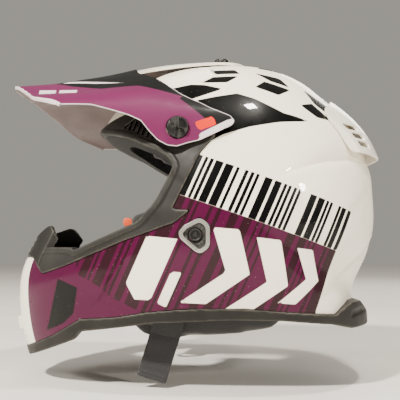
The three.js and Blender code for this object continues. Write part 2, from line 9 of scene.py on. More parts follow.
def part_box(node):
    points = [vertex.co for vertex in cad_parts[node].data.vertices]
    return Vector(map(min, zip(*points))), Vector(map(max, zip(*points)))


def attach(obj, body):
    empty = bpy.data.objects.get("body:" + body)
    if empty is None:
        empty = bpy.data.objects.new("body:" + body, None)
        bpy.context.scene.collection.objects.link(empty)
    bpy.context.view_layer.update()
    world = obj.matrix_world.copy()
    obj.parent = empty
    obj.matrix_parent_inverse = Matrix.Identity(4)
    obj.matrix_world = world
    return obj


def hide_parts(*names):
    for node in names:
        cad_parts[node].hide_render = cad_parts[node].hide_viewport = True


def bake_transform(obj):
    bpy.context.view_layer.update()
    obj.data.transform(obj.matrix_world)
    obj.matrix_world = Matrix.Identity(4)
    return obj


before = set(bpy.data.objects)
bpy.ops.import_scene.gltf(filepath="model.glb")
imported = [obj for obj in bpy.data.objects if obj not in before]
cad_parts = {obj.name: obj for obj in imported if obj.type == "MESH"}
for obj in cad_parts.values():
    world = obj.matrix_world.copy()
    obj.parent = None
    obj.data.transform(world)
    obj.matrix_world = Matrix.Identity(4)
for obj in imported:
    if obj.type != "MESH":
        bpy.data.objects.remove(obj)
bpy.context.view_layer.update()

MM = 0.001

# ---------------------------------------------------------------- the helmet's form
# Outlines are in millimetres, as (y, z) of the side view. They are the part's own outlines.
HALF_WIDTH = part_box("outer_shell")[1].x / MM
POLE = (-5.0, 0.0)
CHIN_WAY = 3.58
SIDE_POWER = 2.1
WALL = 4.0
PROUD = 1.5
FOAM_OUT = 4.3
FOAM_IN = 30.0

OUTLINE = [
    (130, -4), (130, 25), (128, 45), (121.5, 66), (112, 87), (97, 107), (80, 121.5), (62, 135.5),
    (38, 146.5), (8, 152), (-26, 151.5), (-58, 147.2), (-83, 138), (-103, 123), (-117, 108),
    (-128, 92), (-134, 76), (-155, 45), (-178, 14), (-191, -15), (-204, -42), (-207.5, -60),
    (-205, -95), (-199, -120), (-186, -150), (-152, -178), (-100, -192), (-30, -197), (40, -190),
    (88, -165), (110, -125), (110, -90), (108.5, -69), (112.5, -54), (125, -28),
]
RIM = [
    (-260, -124), (-197, -115), (-164, -100), (-137, -84), (-105, -81), (-80, -76.5), (-50, -73.5),
    (0, -72.7), (66, -78.6), (77, -79.5), (83, -75.5), (93, -70), (180, -70.5),
]
TRIM_RIM = [
    (-260, -135), (-198, -125), (-143, -102.5), (-136, -95), (-105, -90.5), (-73, -85.7), (-10, -82.6),
    (32, -83.6), (74, -88), (94, -93), (180, -93),
]
PORT_CUT = [
    (-260, 112), (-124, 90), (-98, 96), (-74, 86), (-66, 64), (-44, 63), (-21, 69), (-35, 53),
    (-52, 19), (-58, 7), (-43, 6), (-56, -4.6), (-98, -19), (-150, -40), (-175, -48), (-187, -33.3),
    (-260, -33.3),
]
PORT = [
    (-280, 150), (-131, 84), (-125, 80), (-108, 73.5), (-96, 69), (-83, 61.5), (-70, 55), (-62, 50),
    (-58, 43), (-60, 37), (-64, 29.5), (-70, 17.5), (-74, 11.5), (-87, -3), (-143, -26.6), (-146, -24),
    (-280, -24),
]
NOSE = [
    (-220, -14), (-192, -15), (-173, -4.5), (-169, -5), (-160, -19), (-153, -25), (-153.5, -40.7),
    (-175, -47.5), (-187, -33), (-220, -33),
]
BADGE = [(-36, 0), (-28, -6), (-28, -24), (-35, -29), (-39, -28), (-52, -17), (-53, -12), (-49, -7)]
BADGE_CENTRE = (-39.6, -14.2)
CHEEK = [
    (-98, -5), (-97, 5), (-80, 10), (-50, 14), (-18, 12), (2, -12), (14, -50), (26, -88), (-20, -94),
    (-80, -96), (-92, -86), (-100, -50),
]
NECK = [(34, -90), (24, -52), (60, -38), (140, -38), (140, -96), (80, -96)]
SPOILER = [(92, 118), (112, 113), (150, 62), (131, 57.5), (97, 58.5), (76, 88), (74, 98)]
PIVOT = (-54.0, 73.0)

_angles, _reaches = zip(*sorted(
    (math.atan2(z - POLE[1], y - POLE[0]) % math.tau, math.hypot(y - POLE[0], z - POLE[1]))
    for y, z in OUTLINE))


def reach(angle):
    """Distance from the pole to the side outline, through its corners as a smooth curve."""
    a = np.array([_angles[-1] - math.tau, *_angles, _angles[0] + math.tau, _angles[1] + math.tau])
    r = np.array([_reaches[-1], *_reaches, _reaches[0], _reaches[1]])
    a = np.insert(a, 0, _angles[-2] - math.tau)
    r = np.insert(r, 0, _reaches[-2])
    turn = np.mod(angle, math.tau)
    i = np.clip(np.searchsorted(a, turn, side="right"), 2, len(a) - 2)
    span = a[i] - a[i - 1]
    t = (turn - a[i - 1]) / span
    m1 = (r[i] - r[i - 2]) / (a[i] - a[i - 2]) * span
    m2 = (r[i + 1] - r[i - 1]) / (a[i + 1] - a[i - 1]) * span
    return ((2 * t**3 - 3 * t**2 + 1) * r[i - 1] + (t**3 - 2 * t**2 + t) * m1
            + (3 * t**2 - 2 * t**3) * r[i] + (t**3 - t**2) * m2)


def power(angle):
    return 2.05 - 0.4 * np.maximum(0, np.cos(angle - CHIN_WAY)) ** 2


def half_width(y, z, inset=0.0):
    """Half width of the form at a point of the side view, in millimetres."""
    angle = np.arctan2(z - POLE[1], y - POLE[0])
    share = np.hypot(y - POLE[0], z - POLE[1]) / (reach(angle) - inset)
    return (HALF_WIDTH - inset) * np.maximum(0, 1 - share ** power(angle)) ** (1 / SIDE_POWER)


def form_points(ring, bow, inset=0.0, relief=None):
    """Points of the closed form, ring by ring from the left pole to the right one, in millimetres."""
    angle = np.arange(ring) * math.tau / ring
    varied = callable(inset)
    depth = inset(angle) if varied else inset
    at_pole = 0.0 if varied else inset
    tilt = (np.arange(1, bow) * math.pi / bow)[:, None]
    far = (reach(angle) - depth)[None, :]
    share = np.sin(tilt) ** (2 / power(angle)[None, :])
    wide = np.sign(np.cos(tilt)) * np.abs(np.cos(tilt)) ** (2 / SIDE_POWER) * (HALF_WIDTH - at_pole)
    x = np.broadcast_to(wide, share.shape).copy()
    y = POLE[0] + share * far * np.cos(angle)[None, :]
    z = POLE[1] + share * far * np.sin(angle)[None, :]
    points = np.stack([x, y, z], axis=-1).reshape(-1, 3)
    left = [[HALF_WIDTH - at_pole, *POLE]]
    right = [[at_pole - HALF_WIDTH, *POLE]]
    points = np.vstack([left, points, right])
    if relief is not None:
        points = relief(points)
    return points


def form_faces(ring, bow):
    last = 1 + (bow - 1) * ring
    faces = []
    for i in range(ring):
        j = (i + 1) % ring
        faces.append((0, 1 + i, 1 + j))
        faces.append((last, last - ring + j, last - ring + i))
    for row in range(bow - 2):
        a = 1 + row * ring
        for i in range(ring):
            j = (i + 1) % ring
            faces.append((a + i, a + ring + i, a + ring + j, a + j))
    return faces


# ---------------------------------------------------------------- mesh helpers
def mesh_object(name, points, faces, unit=MM):
    mesh = bpy.data.meshes.new(name)
    mesh.from_pydata((np.asarray(points, float) * unit).tolist(), [], faces)
    mesh.update()
    obj = bpy.data.objects.new(name, mesh)
    bpy.context.scene.collection.objects.link(obj)
    return obj


def form(inset=0.0, ring=300, bow=120, relief=None):
    return mesh_object("form", form_points(ring, bow, inset, relief), form_faces(ring, bow))


def rounded(points, radius):
    """A closed outline with each corner cut by a short arc."""
    out = []
    count = len(points)
    for i in range(count):
        p, q, r = (Vector(points[(i + k) % count]) for k in (-1, 0, 1))
        back, ahead = p - q, r - q
        cut = min(radius, back.length * 0.45, ahead.length * 0.45)
        start, end = q + back.normalized() * cut, q + ahead.normalized() * cut
        for k in range(5):
            t = k / 4
            out.append(tuple(start * (1 - t) ** 2 + q * 2 * t * (1 - t) + end * t**2))
    return out


def slab(points, x0=-200.0, x1=200.0):
    """A side outline pushed along X."""
    area = sum(a * d - c * b for (a, b), (c, d) in zip(points, points[1:] + points[:1]))
    line = list(points) if area > 0 else list(reversed(points))
    n = len(line)
    verts = [(x0, y, z) for y, z in line] + [(x1, y, z) for y, z in line]
    faces = [tuple(range(n - 1, -1, -1)), tuple(range(n, 2 * n))]
    faces += [(i, (i + 1) % n, n + (i + 1) % n, n + i) for i in range(n)]
    return mesh_object("slab", verts, faces)


def block(low, high):
    (a, b, c), (d, e, f) = low, high
    return slab([(b, c), (e, c), (e, f), (b, f)], a, d)


def bar(start, end, radius, end_radius=None):
    sides = 48
    way = Vector(end) - Vector(start)
    turn = way.to_track_quat("Z", "Y").to_matrix()
    second = radius if end_radius is None else end_radius
    verts = []
    for at, r in ((Vector(start), radius), (Vector(end), second)):
        for k in range(sides):
            a = math.tau * k / sides
            verts.append(at + turn @ Vector((r * math.cos(a), r * math.sin(a), 0)))
    faces = [tuple(range(sides - 1, -1, -1)), tuple(range(sides, 2 * sides))]
    faces += [(i, (i + 1) % sides, sides + (i + 1) % sides, sides + i) for i in range(sides)]
    return mesh_object("bar", verts, faces)


def cross_bar(place, radius, x0=-150.0, x1=150.0):
    """A round bar along X through a place of the side view."""
    return bar((x0, *place), (x1, *place), radius)


def upright_bar(radius, low, high):
    """A round bar on the top screw's axis."""
    return bar((0, TOP_SCREW_Y, low), (0, TOP_SCREW_Y, high), radius)


def points_of(obj):
    """The object's vertices, in millimetres."""
    places = np.empty(len(obj.data.vertices) * 3)
    obj.data.vertices.foreach_get("co", places)
    return places.reshape(-1, 3) / MM


def discard(obj):
    mesh = obj.data
    bpy.data.objects.remove(obj)
    bpy.data.meshes.remove(mesh)


def apply_modifiers(obj):
    graph = bpy.context.evaluated_depsgraph_get()
    mesh = bpy.data.meshes.new_from_object(obj.evaluated_get(graph))
    old = obj.data
    obj.modifiers.clear()
    obj.data = mesh
    bpy.data.meshes.remove(old)
    mesh.name = obj.name
    return obj


def combine(base, tools, operation):
    for tool in tools:
        modifier = base.modifiers.new("join", "BOOLEAN")
        modifier.solver = "MANIFOLD"
        modifier.operation = operation
        modifier.object = tool
    apply_modifiers(base)
    for tool in tools:
        discard(tool)
    return base


def cut(base, *tools):
    return combine(base, tools, "DIFFERENCE")


def keep(base, *tools):
    return combine(base, tools, "INTERSECT")


def join(base, *tools):
    return combine(base, tools, "UNION")


def layer(outer, inner, ring=300, bow=120, relief=None):
    return cut(form(outer, ring, bow, relief), form(inner, ring, bow))


def below(line, lift=0.0):
    return [(y, z + lift) for y, z in line] + [(line[-1][0], -300), (line[0][0], -300)]


def grow(points, distance):
    """A side outline moved outwards, corner by corner."""
    count = len(points)
    area = sum(a * d - c * b for (a, b), (c, d) in zip(points, points[1:] + points[:1]))
    side = math.copysign(1, area)
    out = []
    for i in range(count):
        p, q, r = (Vector(points[(i + k) % count]) for k in (-1, 0, 1))
        n, m = ((e.normalized() * side) for e in (q - p, r - q))
        n, m = Vector((n.y, -n.x)), Vector((m.y, -m.x))
        out.append(tuple(q + (n + m) * distance / (1 + n.dot(m))))
    return out


def remesh(obj, voxel, rounds=2):
    """An even skin with softened edges."""
    modifier = obj.modifiers.new("skin", "REMESH")
    modifier.mode = "VOXEL"
    modifier.voxel_size = voxel * MM
    modifier.use_smooth_shade = True
    if rounds:
        soften = obj.modifiers.new("soften", "SMOOTH")
        soften.factor = 0.5
        soften.iterations = rounds
    return apply_modifiers(obj)


def shade(obj, degrees=30.0):
    mesh = obj.data
    for polygon in mesh.polygons:
        polygon.use_smooth = True
    mesh.set_sharp_from_angle(angle=math.radians(degrees))
    return obj


def form_normals(obj, inset=0.0, degrees=32.0, relief=None):
    """Shades the cut form from its own equation, so that the cuts leave no mark on the gloss."""
    mesh = obj.data
    co = points_of(obj)
    step = 0.5

    def level(p):
        angle = np.arctan2(p[:, 2] - POLE[1], p[:, 1] - POLE[0])
        share = np.hypot(p[:, 1] - POLE[0], p[:, 2] - POLE[1]) / (reach(angle) - inset)
        wide = np.abs(p[:, 0]) / (HALF_WIDTH - inset)
        return share ** power(angle) + wide**SIDE_POWER

    def rise(of):
        return np.stack([of(co + step * e) - of(co - step * e) for e in np.eye(3)], axis=-1)

    normal = rise(level)
    normal /= np.linalg.norm(normal, axis=1)[:, None] + 1e-12
    if relief is not None:
        slope = rise(relief) / (2 * step)
        slope -= np.sum(slope * normal, axis=1)[:, None] * normal
        normal -= slope
        normal /= np.linalg.norm(normal, axis=1)[:, None]
    vertex = np.empty(len(mesh.loops), int)
    mesh.loops.foreach_get("vertex_index", vertex)
    faces = np.empty(len(mesh.polygons) * 3)
    mesh.polygons.foreach_get("normal", faces)
    totals = np.empty(len(mesh.polygons), int)
    mesh.polygons.foreach_get("loop_total", totals)
    face = np.repeat(faces.reshape(-1, 3), totals, axis=0)
    form_normal = normal[vertex]
    dot = np.sum(face * form_normal, axis=1)
    limit = math.cos(math.radians(degrees))
    chosen = np.where((dot > limit)[:, None], form_normal, face)
    chosen = np.where((dot < -limit)[:, None], -form_normal, chosen)
    for polygon in mesh.polygons:
        polygon.use_smooth = True
    mesh.normals_split_custom_set(chosen.tolist())
    return obj


def name_piece(obj, look, name, body, slot, *nodes):
    """Gives a piece its look, name and body, and hides the nodes it stands for. Its slot is not used."""
    if look is not None:
        wear(obj, look)
    obj.name = name
    obj.data.name = name
    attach(obj, body)
    if nodes:
        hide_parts(*nodes)
    return obj


def mirrored(obj):
    twin = obj.copy()
    twin.data = obj.data.copy()
    bpy.context.scene.collection.objects.link(twin)
    twin.data.transform(Matrix.Scale(-1, 4, (1, 0, 0)))
    twin.data.flip_normals()
    return twin


SIDES = ((1, "left"), (-1, "right"))


def on_side(obj, side):
    """The piece itself on the left, or its mirror image in its stead on the right."""
    if side > 0:
        return obj
    twin = mirrored(obj)
    discard(obj)
    return twin


# ---------------------------------------------------------------- materials
def rgb(red, green, blue):
    """A shader colour from its 0-255 display values."""
    linear = [(c / 255 / 12.92) if c <= 10 else ((c / 255 + 0.055) / 1.055) ** 2.4
              for c in (red, green, blue)]
    return (*linear, 1.0)


class Look:
    """One procedural material, built node by node on the object's own coordinates."""

    def __init__(self, name, **sockets):
        self.material = bpy.data.materials.new(name)
        self.material.use_nodes = True
        self.nodes = self.material.node_tree.nodes
        self.links = self.material.node_tree.links
        self.shader = self.nodes["Principled BSDF"]
        for key, value in sockets.items():
            self.shader.inputs[key.replace("_", " ")].default_value = value
        self.place = self.nodes.new("ShaderNodeTexCoord").outputs["Object"]

    def plug(self, socket, value):
        if isinstance(value, bpy.types.NodeSocket):
            self.links.new(value, socket)
        else:
            socket.default_value = value

    def add(self, kind, output, *values, made=None, **named):
        """One output of a new node, its inputs filled in order and by name."""
        node = self.nodes.new("ShaderNode" + kind)
        for key, value in (made or {}).items():
            setattr(node, key, value)
        for socket, value in zip(node.inputs, values):
            self.plug(socket, value)
        for key, value in named.items():
            self.plug(node.inputs[key.replace("_", " ")], value)
        return node.outputs[output]

    def math(self, operation, *values, clamp=False):
        return self.add("Math", 0, *values, made={"operation": operation, "use_clamp": clamp})

    def along(self, direction):
        return self.add("VectorMath", "Value", self.place, direction, made={"operation": "DOT_PRODUCT"})

    def stretched(self, *scale):
        return self.add("VectorMath", "Vector", self.place, scale, made={"operation": "MULTIPLY"})

    def noise(self, scale, detail=3.0, place=None):
        return self.add("TexNoise", "Fac", Scale=scale, Detail=detail, Vector=place or self.place)

    def cells(self, scale):
        return self.add("TexVoronoi", "Distance", Scale=scale, Vector=self.place)

    def field(self, name):
        return self.add("Attribute", "Fac", made={"attribute_name": name})

    def within(self, name):
        """1 inside the painted field of that name, 0 outside."""
        return self.edge(self.field(name))

    def ramp(self, value, stops, sharp=False):
        node = self.nodes.new("ShaderNodeValToRGB")
        node.color_ramp.interpolation = "CONSTANT" if sharp else "LINEAR"
        elements = node.color_ramp.elements
        while len(elements) < len(stops):
            elements.new(0.5)
        for element, (at, colour) in zip(elements, stops):
            element.position = at
            element.color = colour if isinstance(colour, tuple) else (colour, colour, colour, 1)
        self.links.new(value, node.inputs["Fac"])
        return node.outputs["Color"]

    def mix(self, share, first, second, blend="MIX"):
        node = self.nodes.new("ShaderNodeMix")
        node.data_type = "RGBA"
        node.blend_type = blend
        self.plug(node.inputs["Factor"], share)
        self.plug(node.inputs[6], first)
        self.plug(node.inputs[7], second)
        return node.outputs[2]

    def edge(self, distance, softness=0.25):
        """1 where a distance field is positive, 0 outside, with a thin soft line between."""
        return self.math("MULTIPLY_ADD", distance, 0.5 / softness, 0.5, clamp=True)

    def spread(self, value, low, high):
        """A noise value, which is mostly between 0.3 and 0.7, brought to between low and high."""
        return self.add("MapRange", "Result", Value=value, From_Min=0.3, From_Max=0.7, To_Min=low,
                        To_Max=high)

    def worn_edges(self):
        """Lighter colour on the sharp outer edges: the finish worn there, and a painted highlight along them.
        """
        sharpness = self.add("NewGeometry", "Pointiness")
        return self.math("MULTIPLY", self.ramp(sharpness, [(0.51, 0.0), (0.58, 1.0)]),
                         self.spread(self.noise(120, 4), 0.3, 1.0))

    def colour(self, value):
        self.plug(self.shader.inputs["Base Color"], value)

    def rough(self, scale, detail, low, high):
        self.plug(self.shader.inputs["Roughness"], self.spread(self.noise(scale, detail), low, high))

    def bump(self, height, strength, depth):
        self.plug(self.shader.inputs["Normal"],
                  self.add("Bump", "Normal", Strength=strength, Distance=depth, Height=height))


def wear(obj, look):
    obj.data.materials.clear()
    obj.data.materials.append(look.material)


# ---------------------------------------------------------------- printed graphics and painted shade
def off_segment(points, a, b):
    """From the nearest place on a straight line between two corners to each point."""
    way = b - a
    t = np.clip(((points - a) @ way) / (way @ way), 0, 1)
    return points - a - t[:, None] * way


def inside(points, outline):
    """Signed distance to a polygon in millimetres, positive inside it."""
    corner = np.array(outline, float)
    nearest = np.full(len(points), 1e9)
    within = np.zeros(len(points), bool)
    for a, b in zip(corner, np.roll(corner, -1, axis=0)):
        nearest = np.minimum(nearest, np.linalg.norm(off_segment(points, a, b), axis=1))
        cross = (a[1] > points[:, 1]) != (b[1] > points[:, 1])
        with np.errstate(divide="ignore", invalid="ignore"):
            at = a[0] + (points[:, 1] - a[1]) / (b[1] - a[1]) * (b[0] - a[0])
        within ^= cross & (points[:, 0] < at)
    return np.where(within, nearest, -nearest)


def store_field(obj, name, values):
    attribute = obj.data.attributes.new(name, "FLOAT", "POINT")
    attribute.data.foreach_set("value", values.astype(np.float32))


def paint_field(obj, name, side, top=(), top_from=60.0):
    """Stores how far each point is inside a set of outlines, seen from the side or from the top."""
    co = points_of(obj)
    depth = np.full(len(co), -99.0)
    for outline in side:
        depth = np.maximum(depth, inside(co[:, 1:], outline))
    for outline in top:
        seen = inside(np.stack([np.abs(co[:, 0]), co[:, 1]], axis=1), outline)
        depth = np.maximum(depth, np.minimum(seen, co[:, 2] - top_from))
    store_field(obj, name, depth)


STRIPE_NORMAL = (0.0, 0.912, -0.41)
BAND = [(-39, 52), (93, 6), (78, -27), (-54, 19)]
PURPLE = [(-260, 91), (-54, 19), (78, -27), (59, -75), (50, -140), (-260, -140)]
PLAIN_CHIN = [
    (-260, 20), (-150, 20), (-139, -47), (-130, -51), (-117, -58), (-110, -65), (-102, -68), (-85, -76),
    (-85, -150), (-260, -150),
]
# Bars of the upper band and of the purple field, from and to, in millimetres across the stripes.
BARS = [
    (-58, -51), (-48.75, -46.15), (-44.25, -41.55), (-39.9, -33.4), (-31.5, -24.6), (-22.25, -19.65),
    (-14.95, -12.15), (-9.85, -7.25), (-5.35, -2.75), (1.8, 8.4), (10.5, 16.3), (18.15, 20.65),
    (22.25, 24.85), (26.75, 29.25), (30.95, 33.35), (41.8, 47.6), (49.3, 55.2), (56.85, 59.25),
    (60.55, 62.95), (68.75, 71.25), (72.2, 76.5), (78.6, 86),
]
DARK_STRIPES = [
    (-134, -131), (-128, -122), (-113, -110.5), (-107, -100), (-98, -96), (-93, -85), (-82, -79.5),
    (-77, -75), (-71, -65), (-61, -49.5), (-45.6, -42.3), (-40, -37.9), (-29, -26.3), (-22.4, -19.6),
    (-12, -5.2), (-1, 5.8), (10.2, 12), (15.1, 17), (20.6, 22.5), (36.7, 43.3), (47.2, 53.3),
    (55.8, 57.4), (60, 61.8), (71, 73.4), (75.4, 88),
]
CHIN_DIAMOND = [(-158, -51), (-139, -58), (-143, -80), (-153, -89), (-171, -97), (-168, -91)]
FRONT_PANEL = [(-62, 115), (-44, 118.5), (-32, 117.5), (-16, 112.5), (-30, 107), (-46, 101)]
REAR_PANEL = [
    (-38, 101), (-22, 104.5), (-4, 107.5), (10, 102.5), (35, 89), (46, 86.5), (58, 83), (30, 80),
    (5, 75), (-17, 68), (-26, 63),
]
CHECKERS = [
    [(-24, 127), (-1, 128), (-12, 120), (-35, 120)],
    [(13, 133), (36, 127.5), (44, 117), (27, 122.6)],
    [(21, 122), (44, 114), (32, 107), (12, 115)],
    [(57, 118), (80, 104), (87, 86), (66, 102.6)],
    [(63, 102.5), (80, 86.5), (66, 88), (51, 99)],
]
# The intake slot behind the rib is not cut: its recess is painted black as painted shade.
VENT_SLOT_SHADE = [(-28, 136.5), (-4, 137), (0, 131), (-21, 130.5)]
CROWN_CHECKERS = [
    [(6, 62), (28, 56), (24, 80), (2, 84)], [(30, 84), (50, 76), (46, 96), (26, 102)],
    [(26, 22), (46, 18), (44, 40), (24, 44)],
]


def slanted(points):
    """Corners given across and along the stripes, turned into the side view."""
    _, c, s = STRIPE_NORMAL
    return [(u * c - v * s, u * s + v * c) for u, v in points]


# The middle of the chin bar's front is white. Seen from the top.
FRONT_STRIP = [(-10, -300), (47, -300), (47, -130), (-10, -130)]
# Plain slashes and chevrons of the printed pattern, across and along the stripes.
SLASHES = [slanted(points) for points in (
    [(-66, -46), (-42, -38), (-42, -92), (-54, -97), (-66, -88)],
    [(-36, -64), (-28, -61), (-28, -92), (-36, -92)],
    [(-20, -18), (0, -11), (22, -40), (0, -76), (-20, -84), (4, -46)],
    [(15, -11), (34, -5), (54, -36), (34, -68), (14, -76), (37, -40)],
    [(49, -5), (62, -1), (77, -22), (66, -47), (52, -52), (66, -25)],
)]


def bars(look, pairs):
    """1 inside any of a list of bars, 0 between them. One ramp holds up to 15 of them."""
    across = look.math("MULTIPLY", look.along(STRIPE_NORMAL), 1 / MM)
    most = 15
    share = None
    for first in range(0, len(pairs), most):
        some = pairs[first:first + most]
        low, high = some[0][0] - 0.2, some[-1][1] + 0.2
        stops = [(0.0, 0.0)]
        for start, end in some:
            stops += [((start - low) / (high - low), 1.0), ((end - low) / (high - low), 0.0)]
        unit = look.math("MULTIPLY_ADD", across, 1 / (high - low), -low / (high - low))
        run = look.ramp(unit, stops, sharp=True)
        share = run if share is None else look.math("MAXIMUM", share, run)
    return share


WHITE = rgb(253, 245, 228)
INK = rgb(3, 3, 3)
PURPLE_PAINT = rgb(70, 9, 46)
MAROON = rgb(40, 16, 24)


def clouded(look, paint, scale, low, high):
    """A paint made slightly lighter and darker in large soft patches."""
    cloud = look.ramp(look.spread(look.noise(scale), low, high), [(0.0, 0.0), (1.0, 1.0)])
    return look.mix(1.0, paint, cloud, "MULTIPLY")


def shell_paint():
    look = Look("shell_paint", Specular_IOR_Level=0.08, Coat_Weight=0.3, Coat_Roughness=0.03)
    stripes = look.mix(bars(look, DARK_STRIPES), PURPLE_PAINT, MAROON)
    violet = look.mix(look.within("plain"), stripes, PURPLE_PAINT)
    paint = look.mix(look.within("purple"), WHITE, violet)
    paint = look.mix(look.within("band"), paint, look.mix(bars(look, BARS), WHITE, INK))
    paint = look.mix(look.within("white"), paint, WHITE)
    paint = look.mix(look.within("black"), paint, INK)
    specks = look.math("LESS_THAN", look.cells(260), 0.075)
    dust = look.math("MULTIPLY", specks, look.spread(look.noise(30), 0.0, 0.35))
    look.colour(look.mix(dust, clouded(look, paint, 18, 0.94, 1.03), rgb(200, 192, 182)))
    look.rough(60, 6, 0.24, 0.4)
    look.bump(look.noise(900, 2), 0.04, 0.0002)
    return look


PEAK_PURPLE = rgb(96, 25, 68)
PALE = rgb(222, 210, 212)
ORANGE = rgb(216, 40, 5)


def peak_paint():
    look = Look("peak_paint", Specular_IOR_Level=0.2, Coat_Weight=0.1, Coat_Roughness=0.15)
    paint = PEAK_PURPLE
    for field, colour in (("hump", INK), ("wing", INK), ("pale", PALE), ("label", ORANGE), ("line", PALE)):
        paint = look.mix(look.within(field), paint, colour)
    look.colour(clouded(look, paint, 22, 0.93, 1.04))
    look.rough(90, 5, 0.42, 0.56)
    look.bump(look.noise(1200, 2), 0.05, 0.0002)
    return look


def moulded(name, colour, worn, roughness, edge_wear_and_highlight=None, **sockets):
    """Moulded plastic or rubber: fine grain, cloudy tone, patches of wear, and lighter sharp edges for edge
    wear and a painted highlight.
    """
    look = Look(name, **sockets)
    patches = look.spread(look.noise(34, 5), 0.0, 1.0)
    # Sharp edges take the lighter edge colour: edge wear and a painted highlight.
    look.colour(look.mix(look.worn_edges(), look.mix(patches, colour, worn), edge_wear_and_highlight or worn))
    look.rough(80, 4, roughness - 0.06, roughness + 0.08)
    look.bump(look.noise(1500, 3), 0.25, 0.0002)
    return look


def metal(name, colour, roughness):
    look = Look(name, Metallic=1.0)
    brushed = look.noise(160, 4, look.stretched(9.0, 1.0, 1.0))
    look.colour(look.mix(look.spread(brushed, 0.0, 0.5), colour, rgb(120, 118, 116)))
    look.rough(420, 3, roughness - 0.08, roughness + 0.12)
    look.bump(brushed, 0.08, 0.0001)
    return look


def waves(look, direction, pitch):
    """A wave along a direction, with its pitch in metres."""
    return look.math("SINE", look.math("MULTIPLY", look.along(direction), math.tau / pitch))


def crossed(look, first, second):
    """The product of two waves, brought to between 0 and 1."""
    return look.math("MULTIPLY_ADD", look.math("MULTIPLY", first, second), 0.5, 0.5)


def fabric(name, colour, shade_colour):
    """Knitted mesh lining: rows of small loops with darker holes between them."""
    look = Look(name, Sheen_Weight=0.4, Sheen_Roughness=0.5, Roughness=0.9)
    pitch = 0.0016
    loops = crossed(look, waves(look, (0.0, 0.94, 0.34), pitch), waves(look, (0.5, -0.3, 0.81), pitch))
    lit = look.math("MULTIPLY_ADD", loops, 0.45, 0.55)
    tone = look.math("MULTIPLY", look.spread(look.noise(40), 0.75, 1.0), lit)
    look.colour(look.mix(tone, shade_colour, colour))
    look.bump(look.math("MULTIPLY_ADD", look.noise(2600, 3), 0.35, loops), 0.7, 0.0004)
    return look


STRAP_LEAN = 0.3


def webbing():
    """Woven strap: ribs along it and rows across it, following its lean."""
    look = Look("webbing_black", Roughness=0.85, Sheen_Weight=0.25)
    pitch = 0.0021
    sin, cos = math.sin(STRAP_LEAN), math.cos(STRAP_LEAN)
    twill = crossed(look, waves(look, (0.0, -sin, -cos), pitch), waves(look, (0.0, cos, -sin), pitch / 1.6))
    look.colour(look.mix(twill, rgb(14, 14, 16), rgb(46, 45, 48)))
    look.bump(look.math("MULTIPLY_ADD", look.noise(3000, 2), 0.3, twill), 0.8, 0.0004)
    return look


def foam_bead(name):
    """Expanded bead foam: packed rounded cells."""
    look = Look(name, Roughness=0.8)
    cells = look.cells(380)
    look.colour(look.ramp(cells, [(0.0, rgb(52, 52, 54)), (0.6, rgb(30, 30, 31)), (1.0, rgb(14, 14, 15))]))
    look.bump(cells, 0.6, 0.0006)
    return look


# ---------------------------------------------------------------- painted shell
MOUTH_HALF = 33.3
MOUTH = [(-260, -20), (-150, -20), (-150, -106), (-260, -106)]
EXHAUST = [(80, 62), (105, 70), (99, 92), (150, 140), (180, 90)]
EXHAUST_HALF = 34.0
GAP = 0.3
BADGE_FACE = float(half_width(np.array(BADGE_CENTRE[0]), np.array(BADGE_CENTRE[1]))) + 1.8
BADGE_FLOOR = BADGE_FACE - 4.2
TOP_SCREW_Y = -14.0


def relief_depth(points):
    """Height of the moulded shell's low ridges and folds above the plain form, in millimetres."""
    side = np.abs(points[:, 0])
    y, z = points[:, 1], points[:, 2]
    depth = np.zeros(len(points))
    # Fold from the middle of the side to the nape: the surface steps down above it.
    fold_z = np.interp(y, [27, 47, 69, 100, 132], [33, 41, 48, 53, 55])
    reach_in = np.clip((y - 20) / 50, 0, 1) * np.clip((side - 20) / 30, 0, 1)
    over = z - fold_z
    depth -= 4.0 * reach_in * np.where(over > 0, np.exp(-over / 10), np.exp(over / 2.4))
    # Two folds that sweep down the back of the shell.
    for start, end, amount in (((78, -8), (118, 30), 1.3), ((60, -69), (130, -16), 4.6)):
        way = np.array(end, float) - np.array(start, float)
        t = np.clip(((y - start[0]) * way[0] + (z - start[1]) * way[1]) / (way @ way), -0.2, 1.2)
        off = ((y - start[0]) * way[1] - (z - start[1]) * way[0]) / np.hypot(*way)
        fade = np.clip(t / 0.4, 0, 1) * np.clip((1.2 - t) / 0.3, 0, 1) * np.clip((side - 15) / 20, 0, 1)
        ramp = np.clip((off + 6) / 9, 0, 1)
        depth -= amount * fade * ramp * ramp * (3 - 2 * ramp) * np.exp(-np.maximum(off, 0) / 14)
    # Raised rib beside the tongue, up to the intake slot at its rear end.
    along = np.clip((y + 92) / 66, 0, 1)
    across = side - (64 - 4 * along)
    height = 3.4 * along**1.3 * np.clip((-23 - y) / 2.5, 0, 1)
    depth += height * np.exp(-(across / 9) ** 4) * (z > 90)
    # Facets of the chin: a step that runs down and forwards to the rim.
    facet_y = np.interp(z, [-77, -70, -47, -30], [-141, -123, -105, -96])
    ahead = facet_y - y
    rises = np.where(ahead > 0, np.exp(-ahead / 16), np.exp(ahead / 1.6))
    fade = np.clip((-28 - z) / 12, 0, 1) * np.clip((z + 74) / 12, 0, 1)
    depth += 1.7 * rises * fade * (side > 40) * (y < -60)
    return depth


def shell_relief(points):
    radial = points - np.array([0, *POLE])
    radial /= np.linalg.norm(radial, axis=1)[:, None] + 1e-9
    return points + radial * relief_depth(points)[:, None]


RIVET_HOLE = 3.3
INSERT_HOLE = 6.3


